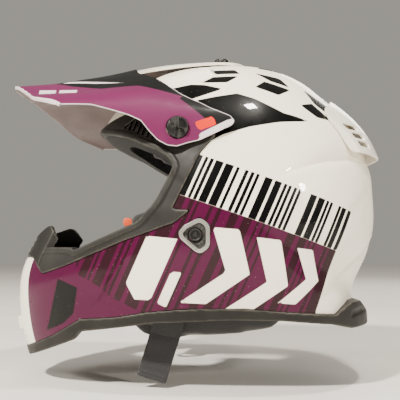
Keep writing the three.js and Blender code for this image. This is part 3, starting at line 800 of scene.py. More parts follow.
def build_shell():
    shell = layer(0.0, WALL, 480, 200, relief=shell_relief)
    badge = grow(BADGE, GAP)
    cut(shell, slab(rounded(PORT_CUT, 3.0)), slab(below(RIM)), slab(MOUTH, -MOUTH_HALF, MOUTH_HALF),
        slab(EXHAUST, -EXHAUST_HALF, EXHAUST_HALF), slab(badge, BADGE_FLOOR, 140),
        slab(badge, -140, -BADGE_FLOOR), cross_bar(BADGE_CENTRE, RIVET_HOLE), cross_bar(PIVOT, INSERT_HOLE),
        upright_bar(INSERT_HOLE, 130, 170))
    form_normals(shell, relief=relief_depth)
    paint_field(shell, "band", [BAND])
    paint_field(shell, "purple", [PURPLE])
    paint_field(shell, "plain", [PLAIN_CHIN])
    paint_field(shell, "white", SLASHES, top=[FRONT_STRIP], top_from=-300)
    # Black holds the printed panels and checkers, and the painted shade of the intake slot.
    paint_field(shell, "black", [FRONT_PANEL, REAR_PANEL, CHIN_DIAMOND, VENT_SLOT_SHADE, *CHECKERS], CROWN_CHECKERS)
    name_piece(shell, shell_paint(), "shell_painted", "helmet", "painted_shell", "outer_shell")


build_shell()


# ---------------------------------------------------------------- camera, lights and floor
FLOOR_SIZE = 4.0
FLOOR_HEIGHT = -0.1455
LIGHT_COLOUR = (1, 0.945, 0.85)
LIT_PLACE = Vector((0, -0.03, 0))


def linked(name, data):
    obj = bpy.data.objects.new(name, data)
    bpy.context.scene.collection.objects.link(obj)
    return obj


def area_light(name, place, size, power):
    """A square soft light that faces the helmet."""
    light = bpy.data.lights.new(name, "AREA")
    light.shape = "RECTANGLE"
    light.size = light.size_y = size
    light.energy = power
    light.color = LIGHT_COLOUR
    lamp = linked(name, light)
    lamp.location = place
    lamp.rotation_euler = (LIT_PLACE - Vector(place)).to_track_quat("-Z", "Y").to_euler()


def studio():
    camera = linked("camera", bpy.data.cameras.new("camera"))
    camera.location = (0.640, -0.0358, -0.024)
    camera.rotation_euler = (math.radians(90 + 4.15), 0, math.radians(90))
    camera.data.lens = 58.5
    camera.data.sensor_width = 36
    bpy.context.scene.camera = camera

    corners = [(x * FLOOR_SIZE, y * FLOOR_SIZE, FLOOR_HEIGHT)
               for x, y in ((-1, -1), (1, -1), (1, 1), (-1, 1))]
    floor = mesh_object("floor", corners, [(0, 1, 2, 3)], unit=1.0)
    look = Look("floor_paper", Roughness=0.95)
    look.colour(look.mix(look.spread(look.noise(9), 0.0, 1.0), rgb(226, 222, 216), rgb(232, 229, 224)))
    wear(floor, look)

    area_light("key", (1.3, -0.9, 1.3), 0.12, 84)
    area_light("fill", (1.4, 1.5, 0.6), 0.14, 25)
    area_light("top", (0.5, 0.3, 1.8), 0.14, 27)
    area_light("back", (-1.5, 0.7, 0.9), 0.6, 8)
    area_light("front", (0.2, -1.7, 0.6), 0.4, 12)
    world = bpy.data.worlds.new("pale")
    world.use_nodes = True
    backdrop = world.node_tree.nodes["Background"].inputs
    backdrop["Color"].default_value = rgb(236, 231, 220)
    backdrop["Strength"].default_value = 0.42
    bpy.context.scene.world = world


studio()


# ---------------------------------------------------------------- peak
PEAK_LINES = [
    [(0, -217.6, 132), (0, -190, 134.2), (0, -160, 135.4),
     (0, -128, 139.6), (0, -98, 147.2), (0, -70, 156)],
    [(14, -216.5, 131.6), (17, -190, 133), (21, -160, 134),
     (26, -128, 137.8), (30, -98, 143.8), (34, -66, 151)],
    [(34, -209, 127.5), (40, -186, 127), (46, -158, 128),
     (51, -128, 130), (55, -98, 132.5), (60, -56, 136)],
    [(66, -190, 113), (74, -171, 112), (80, -148, 112.5),
     (83, -122, 114), (85, -92, 116.5), (88, -44, 117)],
    [(101, -175, 101.5), (108, -159, 101), (111, -140, 101),
     (110, -116, 102), (107, -86, 104), (103, -22, 98)],
    [(117.5, -156.5, 95), (122.5, -142, 91.5), (122, -124, 90.5),
     (120, -102, 89), (118, -76, 86), (114, -4, 84)],
    [(123.8, -149.5, 92.2), (124, -137, 84), (122, -118, 74),
     (120, -96, 62), (119.5, -66, 50), (120, 4, 55)],
]
PEAK_SIDE = [
    (-300, 300), (-300, 60), (-152, 60), (-149.5, 91.4), (-124, 91.2), (-106, 86.5), (-94, 83), (-84, 78.5),
    (-77, 69.6), (-70, 62.4), (-62, 58.2), (-54, 57.5), (-47, 60), (-36, 62.6), (-9.5, 75.5), (-7.5, 79),
    (-11, 83.5), (-27, 90.5), (-35, 95.5), (-45, 100.5), (-52, 104.5), (-63, 114), (-76, 125.5),
    (-92, 135), (-100, 152), (-100, 300),
]
TONGUE_TOP = 157.6
TONGUE_LINES = [
    [(0, -118, 141.8), (0, -98, 149.4), (0, -72, 154.4), (0, -40, 157.2), (0, -14, TONGUE_TOP),
     (0, 2, 156.6), (0, 9, 155)],
    [(13, -118, 140.8), (13, -98, 148.2), (13, -72, 153.2), (13, -40, 156.2), (13, -14, 156.9),
     (12, 1, 156), (8, 7.5, 154.9)],
    [(26, -118, 136.5), (25, -98, 143.6), (24, -72, 148.8), (23, -40, 152.9), (22, -14, 154.4),
     (20, -2, 154.2), (13, 4, 154.4)],
]
PEAK_SHEET = 2.6
SEAT = 116.6
HUMP_EDGE = [(-183, 133.2), (-171, 128), (-150, 119.5), (-121, 112), (-89, 114.5), (-50, 101.5)]
HUMP = [*HUMP_EDGE, (-40, 108), (-60, 170), (-183, 170)]
WING = [(-53, 99.5), (-33, 82), (-23, 71), (-4, 71), (-4, 96), (-40, 112)]
WING_EDGE = [(-38, 60), (-36, 61), (-9, 74), (-7, 79), (-10.5, 81), (-36, 68)]
LEAF = [(-163, 126.8), (-157, 128.4), (-120, 122.6), (-102, 119.6), (-128, 121)]
SIZE_LABEL = [(-40, 77.5), (-25, 83), (-22.5, 75.5), (-37.5, 70)]
FLASHES = [
    [(-181, 117.5), (-164, 115.5), (-161, 108.5), (-178, 110.5)],
    [(-160.5, 115), (-143, 112.8), (-140, 105.8), (-157.5, 108)],
]


def curve_point(points, t):
    """A point of the centripetal Catmull-Rom curve through some points."""
    last = len(points) - 1
    i = min(int(last * t), last - 1)
    w = last * t - i
    p1, p2 = points[i], points[i + 1]
    p0 = points[i - 1] if i > 0 else 2 * points[0] - points[1]
    p3 = points[i + 2] if i + 2 <= last else 2 * points[last] - points[last - 1]
    d0, d1, d2 = (math.sqrt(np.linalg.norm(b - a)) or 1.0 for a, b in ((p0, p1), (p1, p2), (p2, p3)))
    m1 = ((p1 - p0) / d0 - (p2 - p0) / (d0 + d1) + (p2 - p1) / d1) * d1
    m2 = ((p2 - p1) / d1 - (p3 - p1) / (d1 + d2) + (p3 - p2) / d2) * d1
    return p1 + m1 * w + (3 * (p2 - p1) - 2 * m1 - m2) * w**2 + (2 * (p1 - p2) + m1 + m2) * w**3


def both_sides(lines):
    right = [[(-x, y, z) for x, y, z in line] for line in lines[1:]]
    return [*reversed(right), *lines]


def sheet_through(lines, along, across, shape=None):
    """A closed sheet with its top face through some lines. Material 0 is on top, 1 underneath."""
    curves = [[np.array(point, float) for point in line] for line in lines]
    grid = []
    for i in range(along + 1):
        knots = [curve_point(curve, i / along) for curve in curves]
        grid.append([curve_point(knots, j / across) for j in range(across + 1)])
    top = np.array(grid)
    if shape is not None:
        top = shape(top)
    ahead = np.gradient(top, axis=0)
    aside = np.gradient(top, axis=1)
    normal = np.cross(ahead, aside)
    normal /= np.linalg.norm(normal, axis=2)[..., None] + 1e-12
    under = top + normal * PEAK_SHEET
    row = across + 1
    half = (along + 1) * row
    faces = []
    for i in range(along):
        for j in range(across):
            a = i * row + j
            faces.append((a, a + 1, a + row + 1, a + row))
            faces.append((half + a, half + a + row, half + a + row + 1, half + a + 1))
        first, end = i * row, i * row + across
        faces.append((first, first + row, half + first + row, half + first))
        faces.append((end, half + end, half + end + row, end + row))
    for j in range(across):
        end = along * row + j
        faces.append((j, half + j, half + j + 1, j + 1))
        faces.append((end, end + 1, half + end + 1, half + end))
    sheet = mesh_object("sheet", np.vstack([top.reshape(-1, 3), under.reshape(-1, 3)]), faces)
    for index, polygon in enumerate(sheet.data.polygons):
        is_under = index < 2 * along * across + 2 * along and min(polygon.vertices) >= half
        polygon.material_index = 1 if is_under else 0
    return sheet


def peak_shape(top):
    """Lifts the hump above a soft step along its edge."""
    y, z = top[..., 1], top[..., 2]
    edge = np.interp(y, *zip(*HUMP_EDGE))
    step = 1 / (1 + np.exp(-(z - edge) / 1.2))
    fade = np.clip((y + 171) / 25, 0, 1) * np.clip(np.abs(top[..., 0]) / 30, 0, 1)
    top = top.copy()
    top[..., 2] += 1.2 * step * fade
    return top


def build_peak():
    peak = sheet_through(both_sides(PEAK_LINES), 96, 200, peak_shape)
    # The last colour is the lighter edge colour: edge wear and a painted highlight.
    under = moulded("peak_underside", rgb(108, 94, 94), rgb(128, 114, 112), 0.5, rgb(180, 168, 166))
    for look in (peak_paint(), under, shell_white("tongue_paint")):
        peak.data.materials.append(look.material)
    keep(peak, slab(rounded(PEAK_SIDE, 2.0)))
    tongue = sheet_through(both_sides(TONGUE_LINES), 60, 40)
    for polygon in tongue.data.polygons:
        polygon.material_index = 2 if polygon.material_index == 0 else 1
    slot = block((-3.3, TOP_SCREW_Y - 3.4, 130), (3.3, TOP_SCREW_Y + 11, 180))
    for material in peak.data.materials:
        tongue.data.materials.append(material)
        slot.data.materials.append(material)
    cut(tongue, slot)
    join(peak, tongue)
    for side in (-1, 1):
        join(peak, cross_bar(PIVOT, 9, side * 109.6, side * SEAT))
        cut(peak, cross_bar(PIVOT, 3.9, side * 100, side * 130),
            cross_bar(PIVOT, 9.6, side * SEAT, side * 130))
    paint_field(peak, "hump", [HUMP])
    paint_field(peak, "pale", [LEAF, WING_EDGE, *FLASHES])
    paint_field(peak, "wing", [WING])
    paint_field(peak, "label", [SIZE_LABEL])
    mark_peak_line(peak)
    shade(peak, 35)
    name_piece(peak, None, "peak_moulded", "peak", "painted_peak", "peak")


def mark_peak_line(peak):
    """Stores how far each point is from the pale line along the peak's edges."""
    co = points_of(peak)
    knots = [np.array(line[0], float) for line in both_sides(PEAK_LINES)]
    steps = 160
    front = [curve_point(knots, j / steps) for j in range(steps + 1)]
    nearest = np.full(len(co), 1e9)
    for a, b in zip(front[:-1], front[1:]):
        gap = off_segment(co, a, b)
        far = np.linalg.norm(gap, axis=1)
        # The lower corner of the front edge is part of the line too.
        corner = (far < PEAK_SHEET + 0.2) & (np.abs(gap[:, 1]) < 1.0)
        nearest = np.minimum(nearest, np.where(corner, 0.0, far))
    wing = np.abs(co[:, 0]) > 84
    edge = np.array(PEAK_SIDE[2:22], float)
    for a, b in zip(edge[:-1], edge[1:]):
        far = np.linalg.norm(off_segment(co[:, 1:], a, b), axis=1)
        nearest = np.minimum(nearest, np.where(wing, far, 99))
    store_field(peak, "line", 0.4 - nearest)


def shell_white(name):
    """Plain gloss white with the shell's cloudiness."""
    look = Look(name, Specular_IOR_Level=0.2, Coat_Weight=0.5, Coat_Roughness=0.05)
    look.colour(look.mix(look.spread(look.noise(20), 0.0, 1.0), rgb(232, 226, 212), rgb(246, 240, 228)))
    look.rough(70, 5, 0.24, 0.38)
    look.bump(look.noise(900, 2), 0.04, 0.0002)
    return look


build_peak()


# ---------------------------------------------------------------- rubber trims, vents and spoiler
NOSE_HALF = 62.0
LOUVRE = [(-103, 81), (-68, 62.5), (-73.5, 77), (-91, 88)]
# The last colour of each look is its lighter edge colour: edge wear and a painted highlight.
rubber = moulded("rubber_black", rgb(22, 21, 19), rgb(33, 32, 29), 0.5, rgb(104, 100, 92),
                 Specular_IOR_Level=0.25)
hard_black = moulded("plastic_black", rgb(6, 6, 6), rgb(12, 12, 12), 0.3, rgb(60, 60, 58),
                     Specular_IOR_Level=0.35)
silver = moulded("plastic_silver", rgb(176, 174, 168), rgb(146, 144, 138), 0.3, rgb(225, 222, 214),
                 Metallic=0.7)
steel = metal("steel_plated", rgb(190, 190, 188), 0.3)


def soft_piece(obj, voxel, look, name, slot, node):
    """Rounds a moulded part's edges with an even skin and names it."""
    remesh(obj, voxel, 2)
    name_piece(obj, look, name, "helmet", slot, node)


def build_eye_port():
    trim = layer(-PROUD, WALL)
    keep(trim, slab(rounded(grow(PORT_CUT, -GAP), 3.0)))
    # Raised lip round the opening for the goggles.
    lip = layer(-PROUD - 1.4, WALL)
    keep(lip, slab(rounded(grow(PORT, 4.5), 5.0)))
    join(trim, lip)
    half = NOSE_HALF + GAP
    cut(trim, slab(rounded(PORT, 4.0)), slab(grow(NOSE, GAP), -half, half),
        slab([(-300, -70), (-300, -20), (-170, -20), (-150, -70)], -half, half), slab(grow(LOUVRE, GAP)))
    soft_piece(trim, 0.95, rubber, "eye_port_rubber", "black_rubber", "eye_port_trim")


def build_nose_guard():
    guard = layer(-PROUD - 1, WALL)
    keep(guard, slab(rounded(NOSE, 2.0), -NOSE_HALF, NOSE_HALF))
    for k in range(4):
        z = -20.0 - k * 5.0
        groove = layer(-PROUD - 4, -PROUD + 0.4, 160, 60)
        keep(groove, slab([(-260, z), (-150, z + 3), (-150, z + 5), (-260, z + 2)], -40, 40))
        cut(guard, groove)
    soft_piece(guard, 1.0, rubber, "nose_guard_rubber", "black_rubber", "nose_guard")


def build_rim():
    """Trim of the bottom edge: it flares out at the nape, with a recess in each side of the flare."""
    def flare(angle):
        return -PROUD - 15 * np.maximum(0, np.cos(angle + 0.62)) ** 16

    rim = layer(flare, 12.0)
    zone = slab(below(RIM, -GAP))
    cut(zone, slab(below(TRIM_RIM)), slab([(104, -60), (104, -69.5), (126, -90), (200, -90), (200, -60)]))
    keep(rim, zone)
    recess = layer(lambda angle: flare(angle) - 4, lambda angle: flare(angle) + 1.6, 160, 60)
    keep(recess, slab([(92, -83.5), (94.5, -77), (108, -76), (114, -81)]))
    cut(rim, recess)
    soft_piece(rim, 1.1, rubber, "rim_rubber", "black_rubber", "rim_trim")


def build_brow_vents():
    for side, name in SIDES:
        louvre = layer(0.0, WALL - 0.5)
        keep(louvre, slab(LOUVRE, 0.2, 200))
        slots = []
        for k in range(6):
            y, z = -96 + k * 4.2, 82.6 - k * 2.4
            slots.append(slab([(y - 2.4, z - 4), (y - 0.9, z - 4.8), (y + 2.4, z + 4), (y + 0.9, z + 4.8)]))
        cut(louvre, *slots)
        louvre = shade(on_side(louvre, side))
        name_piece(louvre, hard_black, f"brow_vent_{name}", "helmet", "black_plastic", f"brow_louvre_{name}")


def build_chin_vent():
    cover = layer(-PROUD, WALL)
    keep(cover, slab([(-260, -33.7), (-150, -33.7), (-150, -105.7), (-260, -105.7)], -33, 33))
    ledge = layer(-PROUD - 3.0, WALL)
    keep(ledge, slab([(-260, -92), (-150, -84), (-150, -97), (-260, -103)], -30, 30))
    join(cover, ledge)
    for z in (-56, -69, -82):
        cut(cover, block((-22, -230, z - 3), (22, -150, z + 3)))
    soft_piece(cover, 0.9, shell_white("chin_white"), "chin_vent_moulded", "painted_shell", "chin_vent_cover")


SPOILER_HALF = 78.0
SPOILER_LOUVRE = (56.0, 72.0)


def build_spoiler():
    """Hood over the exhaust hole: louvred near each side, with a wall at each side edge."""
    def lift(angle):
        return -1.2 - 11 * np.maximum(0, np.cos((angle - 0.42) * 1.25)) ** 10

    outline = rounded(SPOILER, 4.0)
    hood = layer(lift, lambda angle: np.minimum(-0.4, lift(angle) + 3))
    keep(hood, slab(outline, -SPOILER_HALF, SPOILER_HALF))
    for side in (-1, 1):
        wall = layer(lift, lambda angle: -0.4 + 0 * angle)
        keep(wall, slab(outline, *sorted((side * SPOILER_HALF, side * (SPOILER_HALF - 3)))))
        join(hood, wall)
        for k in range(3):
            z = 82.5 - k * 7.5
            slot = [(76, z - 2.3), (140, z - 2.3), (140, z + 2.3), (76, z + 2.3)]
            cut(hood, slab(slot, *sorted(side * x for x in SPOILER_LOUVRE)))
    soft_piece(hood, 0.9, shell_white("spoiler_white"), "spoiler_moulded", "painted_shell", "rear_spoiler")


build_eye_port()
build_nose_guard()
build_rim()
build_brow_vents()
build_chin_vent()
build_spoiler()


# ---------------------------------------------------------------- badges, screws and washers
def lathe(profile, steps=64):
    """A solid turned about X from (x, radius) pairs, the first and last on the axis."""
    verts, faces = [(profile[0][0], 0, 0)], []
    rings = profile[1:-1]
    round_about = [(math.cos(math.tau * k / steps), math.sin(math.tau * k / steps)) for k in range(steps)]
    for x, r in rings:
        verts += [(x, r * cos, r * sin) for cos, sin in round_about]
    verts.append((profile[-1][0], 0, 0))
    last = len(verts) - 1
    for k in range(steps):
        n = (k + 1) % steps
        faces.append((0, 1 + n, 1 + k))
        for j in range(len(rings) - 1):
            a, b = 1 + j * steps, 1 + (j + 1) * steps
            faces.append((a + k, a + n, b + n, b + k))
        end = 1 + (len(rings) - 1) * steps
        faces.append((last, end + k, end + n))
    return mesh_object("turned", verts, faces)


def placed(obj, y, z):
    obj.data.transform(Matrix.Translation(Vector((0, y, z)) * MM))
    return obj


def turned_up(obj, y):
    obj.data.transform(Matrix.Rotation(-math.pi / 2, 4, "Y"))
    obj.data.transform(Matrix.Translation(Vector((0, y, 0)) * MM))
    return obj


def bevelled(obj, width, degrees=30):
    modifier = obj.modifiers.new("edge", "BEVEL")
    modifier.width = width * MM
    modifier.segments = 3
    modifier.limit_method = "ANGLE"
    modifier.angle_limit = math.radians(degrees)
    return shade(apply_modifiers(obj), 40)


def pair(make, name, body, slot, look, node):
    """Left piece from a builder, and its mirror image for the right."""
    left = make()
    for obj, side in ((left, "left"), (mirrored(left), "right")):
        name_piece(obj, look, f"{name}_{side}", body.format(side), slot, node.format(side))


def disc(low, high, radius):
    """A flat washer blank about X with eased edges."""
    return lathe([(low, 0), (low, radius - 0.2), (low + 0.2, radius), (high - 0.2, radius),
                  (high, radius - 0.3), (high, 0)])


def washer():
    ring = placed(disc(SEAT + 0.3, SEAT + 1.5, 8.6), *PIVOT)
    cut(ring, cross_bar(PIVOT, 4, 100, 130))
    return shade(ring)


def side_screw():
    """Domed head with a grip bar left standing between two scoops, and a coin slot in the bar."""
    base = SEAT + 1.8
    head = lathe([(93, 0), (93, 2.9), (93.4, 3.2), (base, 3.2), (base, 8.9), (base + 0.4, 9),
                  (base + 2.6, 8.8), (base + 3.5, 8.0), (base + 4, 6.2), (base + 4.0, 0)])
    placed(head, *PIVOT)
    y, z = PIVOT
    lean = math.radians(20)
    tools = []
    for side in (-1, 1):
        at = (y - side * 5.9 * math.sin(lean), z + side * 5.9 * math.cos(lean))
        tools.append(bar((base + 1.5, *at), (140, *at), 4.2, end_radius=4.9))
    tools.append(block((base + 1.4, y - 1.0, z - 20), (140, y + 1.0, z + 20)))
    cut(head, *tools)
    return bevelled(head, 0.25)


def build_top_screw():
    base = TONGUE_TOP + 1.9
    head = lathe([(140, 0), (140, 2.3), (140.3, 2.5), (base, 2.5), (base, 7.3), (base + 0.3, 7.4),
                  (base + 2.4, 7.2), (base + 3.3, 6.4), (base + 3.6, 5.2), (base + 3.6, 0)])
    turned_up(head, TOP_SCREW_Y)
    cut(head, block((-20, TOP_SCREW_Y - 1, base + 1.6), (20, TOP_SCREW_Y + 1, 180)))
    name_piece(bevelled(head, 0.2), hard_black, "top_screw_turned", "top_screw", "black_plastic", "top_screw")
    ring = turned_up(disc(TONGUE_TOP + 0.3, TONGUE_TOP + 1.6, 8), TOP_SCREW_Y)
    cut(ring, upright_bar(3, 150, 170))
    name_piece(shade(ring), hard_black, "top_washer_turned", "top_washer", "black_plastic", "top_washer")


def badge_bezel():
    bezel = slab(rounded(BADGE, 7.0), BADGE_FLOOR + GAP, BADGE_FACE)
    cut(bezel, slab(rounded(grow(BADGE, -3.2), 5.5), 0, 200))
    return bevelled(bezel, 0.9)


def badge_dish():
    dish = slab(rounded(grow(BADGE, -3.5), 5.2), BADGE_FLOOR + GAP, BADGE_FACE - 1.2)
    face = BADGE_FACE
    hollow = lathe([(face - 2.6, 0), (face - 2.6, 5.5), (face + 3, 19), (face + 3, 0)])
    cut(dish, placed(hollow, *BADGE_CENTRE), cross_bar(BADGE_CENTRE, 5.8, 60))
    return shade(dish)


def badge_button():
    face = BADGE_FACE
    button = lathe([(face - 2.1, 0), (face - 2.1, 5.1), (face - 0.7, 5.1), (face - 0.2, 4.7),
                    (face - 0.1, 4.2), (face - 0.5, 3.6), (face - 0.5, 2.3), (face - 0.1, 1.8),
                    (face - 0.1, 0)], 48)
    return shade(placed(button, *BADGE_CENTRE))


pair(washer, "side_washer_turned", "peak", "black_plastic", hard_black, "side_washer_{}")
pair(side_screw, "side_screw_winged", "side_screw_{}", "black_plastic", hard_black, "side_screw_{}")
build_top_screw()
pair(badge_bezel, "badge_bezel_moulded", "helmet", "silver_plastic", silver, "badge_bezel_{}")
pair(badge_dish, "badge_dish_moulded", "helmet", "black_plastic", hard_black, "badge_dish_{}")
pair(badge_button, "badge_button_turned", "helmet", "black_plastic", hard_black, "badge_button_{}")


# ---------------------------------------------------------------- foam and lining
CHIN_FOAM_IN = 21.0
beads = foam_bead("foam_beads")
lining = fabric("lining_grey", rgb(128, 124, 132), rgb(46, 44, 50))
lining_dark = fabric("lining_black", rgb(30, 29, 30), rgb(9, 9, 10))


def build_foam():
    crown = layer(FOAM_OUT, FOAM_IN, 160, 80)
    cut(crown, slab(rounded(PORT, 3.0)), slab(below(RIM)),
        slab([(-60.7, 40), (-60.7, -200), (-300, -200), (-300, 40)]), cross_bar(PIVOT, 9.3, -89, -150),
        cross_bar(PIVOT, 9.3, 89), cross_bar(BADGE_CENTRE, 3.8), upright_bar(9.3, 137.6, 170))
    name_piece(shade(crown), beads, "crown_foam_beads", "helmet", "foam", "crown_foam")
    chin = layer(FOAM_OUT, CHIN_FOAM_IN, 160, 80)
    keep(chin, slab([(-61, 40), (-61, -200), (-300, -200), (-300, 40)]))
    duct = [(-260, -44), (-150, -44), (-150, -94), (-260, -94)]
    cut(chin, slab(PORT), slab(below(RIM)), slab(duct, -28, 28))
    name_piece(shade(chin), beads, "chin_foam_beads", "helmet", "foam", "chin_foam")


def puff(obj, cap):
    """Swells a pad under air pressure, with no point moving further than the cap."""
    remesh(obj, 4.5, 1)
    start = points_of(obj)
    cloth = obj.modifiers.new("air", "CLOTH")
    cloth.settings.use_pressure = True
    cloth.settings.uniform_pressure_force = 4.0
    cloth.settings.effector_weights.gravity = 0
    cloth.settings.quality = 4
    cloth.settings.tension_stiffness = 15
    cloth.settings.compression_stiffness = 15
    scene = bpy.context.scene
    scene.frame_start, scene.frame_end = 1, 20
    for number in range(1, 21):
        scene.frame_set(number)
    apply_modifiers(obj)
    scene.frame_set(1)
    move = points_of(obj) - start
    length = np.linalg.norm(move, axis=1)[:, None] + 1e-9
    moved = start + move / length * cap * np.tanh(length / cap)
    obj.data.vertices.foreach_set("co", (moved * MM).ravel())
    obj.data.update()
    modifier = obj.modifiers.new("fine", "SUBSURF")
    modifier.levels = 1
    apply_modifiers(obj)
    return shade(obj, 180)


# The pad on the side of the loose strap end hangs a little below the rim trim.
CHEEK_LONG = [*CHEEK[:7], (40, -88), (26, -97), (-20, -103), (-70, -106), (-90, -100), (-99, -86), CHEEK[-1]]
ONE_SIDE = ((0.2, -400, -400), (400, 400, 400))


def padded(obj, cap, look, name, node):
    name_piece(puff(obj, cap), look, name, "helmet", "lining", node)


def build_pads():
    cap = layer(FOAM_IN + 1.0, 37.0, 120, 60)
    cut(cap, slab(grow(PORT, 6.5)),
        slab([(-200, 17), (20, 17), (50, -32), (200, -32), (200, -260), (-200, -260)]))
    # Sewn channels run from front to back between the crown panels.
    for x in (-26, 26):
        cut(cap, block((x - 1.4, -200, -60), (x + 1.4, 200, 200)))
    padded(cap, 3.5, lining, "crown_pad_padded", "crown_pad")
    for side, name in SIDES:
        cheek = layer(38.2, 54.0, 120, 60)
        outline = CHEEK_LONG if name == "left" else CHEEK
        keep(cheek, slab(rounded(grow(outline, -1.0), 6.0)), block(*ONE_SIDE))
        padded(on_side(cheek, side), 5.0, lining_dark, f"cheek_pad_padded_{name}", f"cheek_pad_{name}")
    roll = layer(FOAM_IN + 2.0, 46.0, 120, 60)
    keep(roll, slab(rounded(grow(NECK, -3.0), 6.0)))
    padded(roll, 4.0, lining_dark, "neck_roll_padded", "neck_roll")


build_foam()
build_pads()


# ---------------------------------------------------------------- chin strap and D-rings
STRAP_SLOT = (31.0, 33.0)
STRAP_WIDTH = 26.0
STRAP_THICK = 2.0
STRAP_EXIT_Z = -101.0
STRAP_FREE = 38.0
strap_cloth = webbing()
thread = moulded("stitch_thread", rgb(44, 43, 46), rgb(64, 62, 66), 0.7)


def on_strap(down, aside):
    sin, cos = math.sin(STRAP_LEAN), math.cos(STRAP_LEAN)
    y, z = BADGE_CENTRE
    return y - down * sin + aside * cos, z - down * cos - aside * sin


STRAP_DOWN = (BADGE_CENTRE[1] - STRAP_EXIT_Z) / math.cos(STRAP_LEAN)
HINGE_Y, HINGE_Z = on_strap(STRAP_DOWN, 0)
HINGE_X = float(half_width(np.array(HINGE_Y), np.array(HINGE_Z), sum(STRAP_SLOT) / 2))


def strap_frame(side):
    """Places a mesh made with x through the strap, y across it and z up along it."""
    return (Matrix.Translation(Vector((side * HINGE_X, HINGE_Y, HINGE_Z)) * MM)
            @ Matrix.Rotation(-STRAP_LEAN, 4, "X"))


def ribbon(width, thick, length, cross=16, along=60, sag=0.0, top=-1.0):
    """Closed strip of webbing with rounded selvedges, hanging down from its top edge."""
    profile = []
    for k in range(cross + 1):
        a = math.pi / 2 + math.pi * k / cross
        profile.append((thick / 2 * math.sin(a), -width / 2 + thick / 2 + thick / 2 * math.cos(a)))
    for k in range(cross + 1):
        a = -math.pi / 2 + math.pi * k / cross
        profile.append((thick / 2 * math.sin(a), width / 2 - thick / 2 + thick / 2 * math.cos(a)))
    count = len(profile)
    verts, faces = [], []
    for row in range(along + 1):
        t = row / along
        z = top - t * length
        bend = sag * math.sin(math.pi * t)
        verts += [(x + bend, y, z) for x, y in profile]
    for row in range(along):
        a = row * count
        for k in range(count):
            n = (k + 1) % count
            faces.append((a + k, a + n, a + count + n, a + count + k))
    faces.append(tuple(range(count - 1, -1, -1)))
    faces.append(tuple(range(along * count, (along + 1) * count)))
    return mesh_object("ribbon", verts, faces)


def stitches(width, depth, levels, half):
    """Rows of thread stitches that stand just above both faces of the webbing."""
    verts, faces = [], []
    for z in levels:
        for k in range(int(width / 2.6)):
            y = -width / 2 + 1.3 + k * 2.6
            for face in (-1, 1):
                a = len(verts)
                x = face * half
                corner = [(x, y + b, z + c) for b, c in ((-0.9, -0.3), (0.9, -0.3), (0.9, 0.3), (-0.9, 0.3))]
                verts += corner + [(x + face * depth, b * 0.9 + y * 0.1, c) for _, b, c in corner]
                faces += [(a + k, a + (k + 1) % 4, a + 4 + (k + 1) % 4, a + 4 + k) for k in range(4)]
                faces += [(a + 4, a + 5, a + 6, a + 7), (a + 3, a + 2, a + 1, a)]
    return mesh_object("stitches", verts, faces)


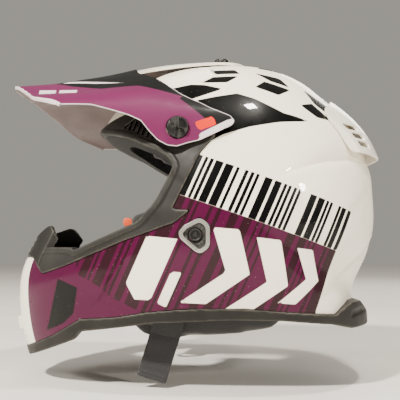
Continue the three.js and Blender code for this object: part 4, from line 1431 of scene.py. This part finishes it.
def build_straps():
    hem = 7.0
    free = ribbon(STRAP_WIDTH, STRAP_THICK, STRAP_FREE - 5, top=-4.0)
    turned = ribbon(STRAP_WIDTH, STRAP_THICK + 2, hem, top=hem - STRAP_FREE)
    join(free, turned)
    remesh(free, 0.5, 2)
    free.data.transform(strap_frame(1))
    name_piece(free, strap_cloth, "strap_end_webbing", "strap_free_end", "webbing", "strap_free_end")
    # A short straight piece of webbing stands where the webbing bends at the edge of the cheek pad.
    bend = ribbon(STRAP_WIDTH + 0.4, STRAP_THICK + 0.5, 9.0, along=36, top=4.5)
    bend.data.transform(strap_frame(1))
    wear(shade(bend), strap_cloth)
    bend.name = "strap_bend_webbing"
    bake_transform(bend)
    seam = stitches(STRAP_WIDTH - 4, 0.35, (hem - STRAP_FREE - 1.4, 2.2 - STRAP_FREE), STRAP_THICK / 2 + 0.85)
    seam.data.transform(strap_frame(1))
    name_piece(shade(seam), thread, "strap_end_stitches", "strap_free_end", "webbing")

    half = STRAP_WIDTH / 2
    band = [on_strap(down, aside)
            for down, aside in ((-12, -half), (STRAP_DOWN, -half), (STRAP_DOWN, half), (-12, half))]
    for side, name in SIDES:
        upper = layer(*STRAP_SLOT, 240, 120)
        keep(upper, slab(band), block(*ONE_SIDE))
        cut(upper, cross_bar(BADGE_CENTRE, RIVET_HOLE, 0))
        upper = shade(on_side(upper, side))
        name_piece(upper, strap_cloth, f"strap_webbing_{name}", "helmet", "webbing", f"strap_upper_{name}")


def d_ring(offset, name, body):
    """Round wire bent to a D, its flat bar at the top where the loop holds it."""
    wire = 1.5
    wide, tall = 16 - wire, 9 - wire
    path = [(-wide + 2 * wide * k / 14, tall) for k in range(15)]
    path += [(wide * math.cos(-math.pi * k / 28), tall - 1 + (2 * tall - 1) * math.sin(-math.pi * k / 28))
             for k in range(1, 28)]
    verts, faces = [], []
    sides, count = 16, len(path)
    for i, (y, z) in enumerate(path):
        ahead, back = Vector(path[(i + 1) % count]), Vector(path[i - 1])
        way = (ahead - back).normalized()
        out = Vector((way.y, -way.x))
        for k in range(sides):
            a = math.tau * k / sides
            y_out, z_out = out * wire * math.cos(a)
            verts.append((offset + wire * math.sin(a), y + y_out, z + z_out - 10))
    for i in range(count):
        j = (i + 1) % count
        faces += [(i * sides + k, i * sides + (k + 1) % sides, j * sides + (k + 1) % sides, j * sides + k)
                  for k in range(sides)]
    ring = mesh_object("ring", verts, faces)
    ring.data.transform(strap_frame(-1))
    name_piece(shade(ring, 60), steel, name, body, "steel", body)


build_straps()
d_ring(-2.0, "d_ring_outer_wire", "d_ring_outer")
d_ring(2.0, "d_ring_inner_wire", "d_ring_inner")


# ---------------------------------------------------------------- release tabs and kept solids
def tab():
    outline = [(-104.5, -5.5), (-96.5, -5.5), (-96.5, 2.2), (-104.5, 2.2)]
    return bevelled(slab(rounded(outline, 3.5), 56.2, 58.8), 0.6)


tab_orange = moulded("tab_orange", rgb(226, 62, 14), rgb(236, 96, 40), 0.5)
pair(tab, "release_tab_moulded", "helmet", "orange_tab", tab_orange, "release_tab_{}")
KEPT = {
    hard_black: ("mouth_grille", "exhaust_grille", "cheek_pad_base_left", "cheek_pad_base_right"),
    steel: ("strap_rivet_left", "strap_rivet_right", "side_insert_left", "side_insert_right", "top_insert"),
}
for look, nodes in KEPT.items():
    for node in nodes:
        for slot in bpy.data.objects[node].material_slots:
            slot.material = look.material
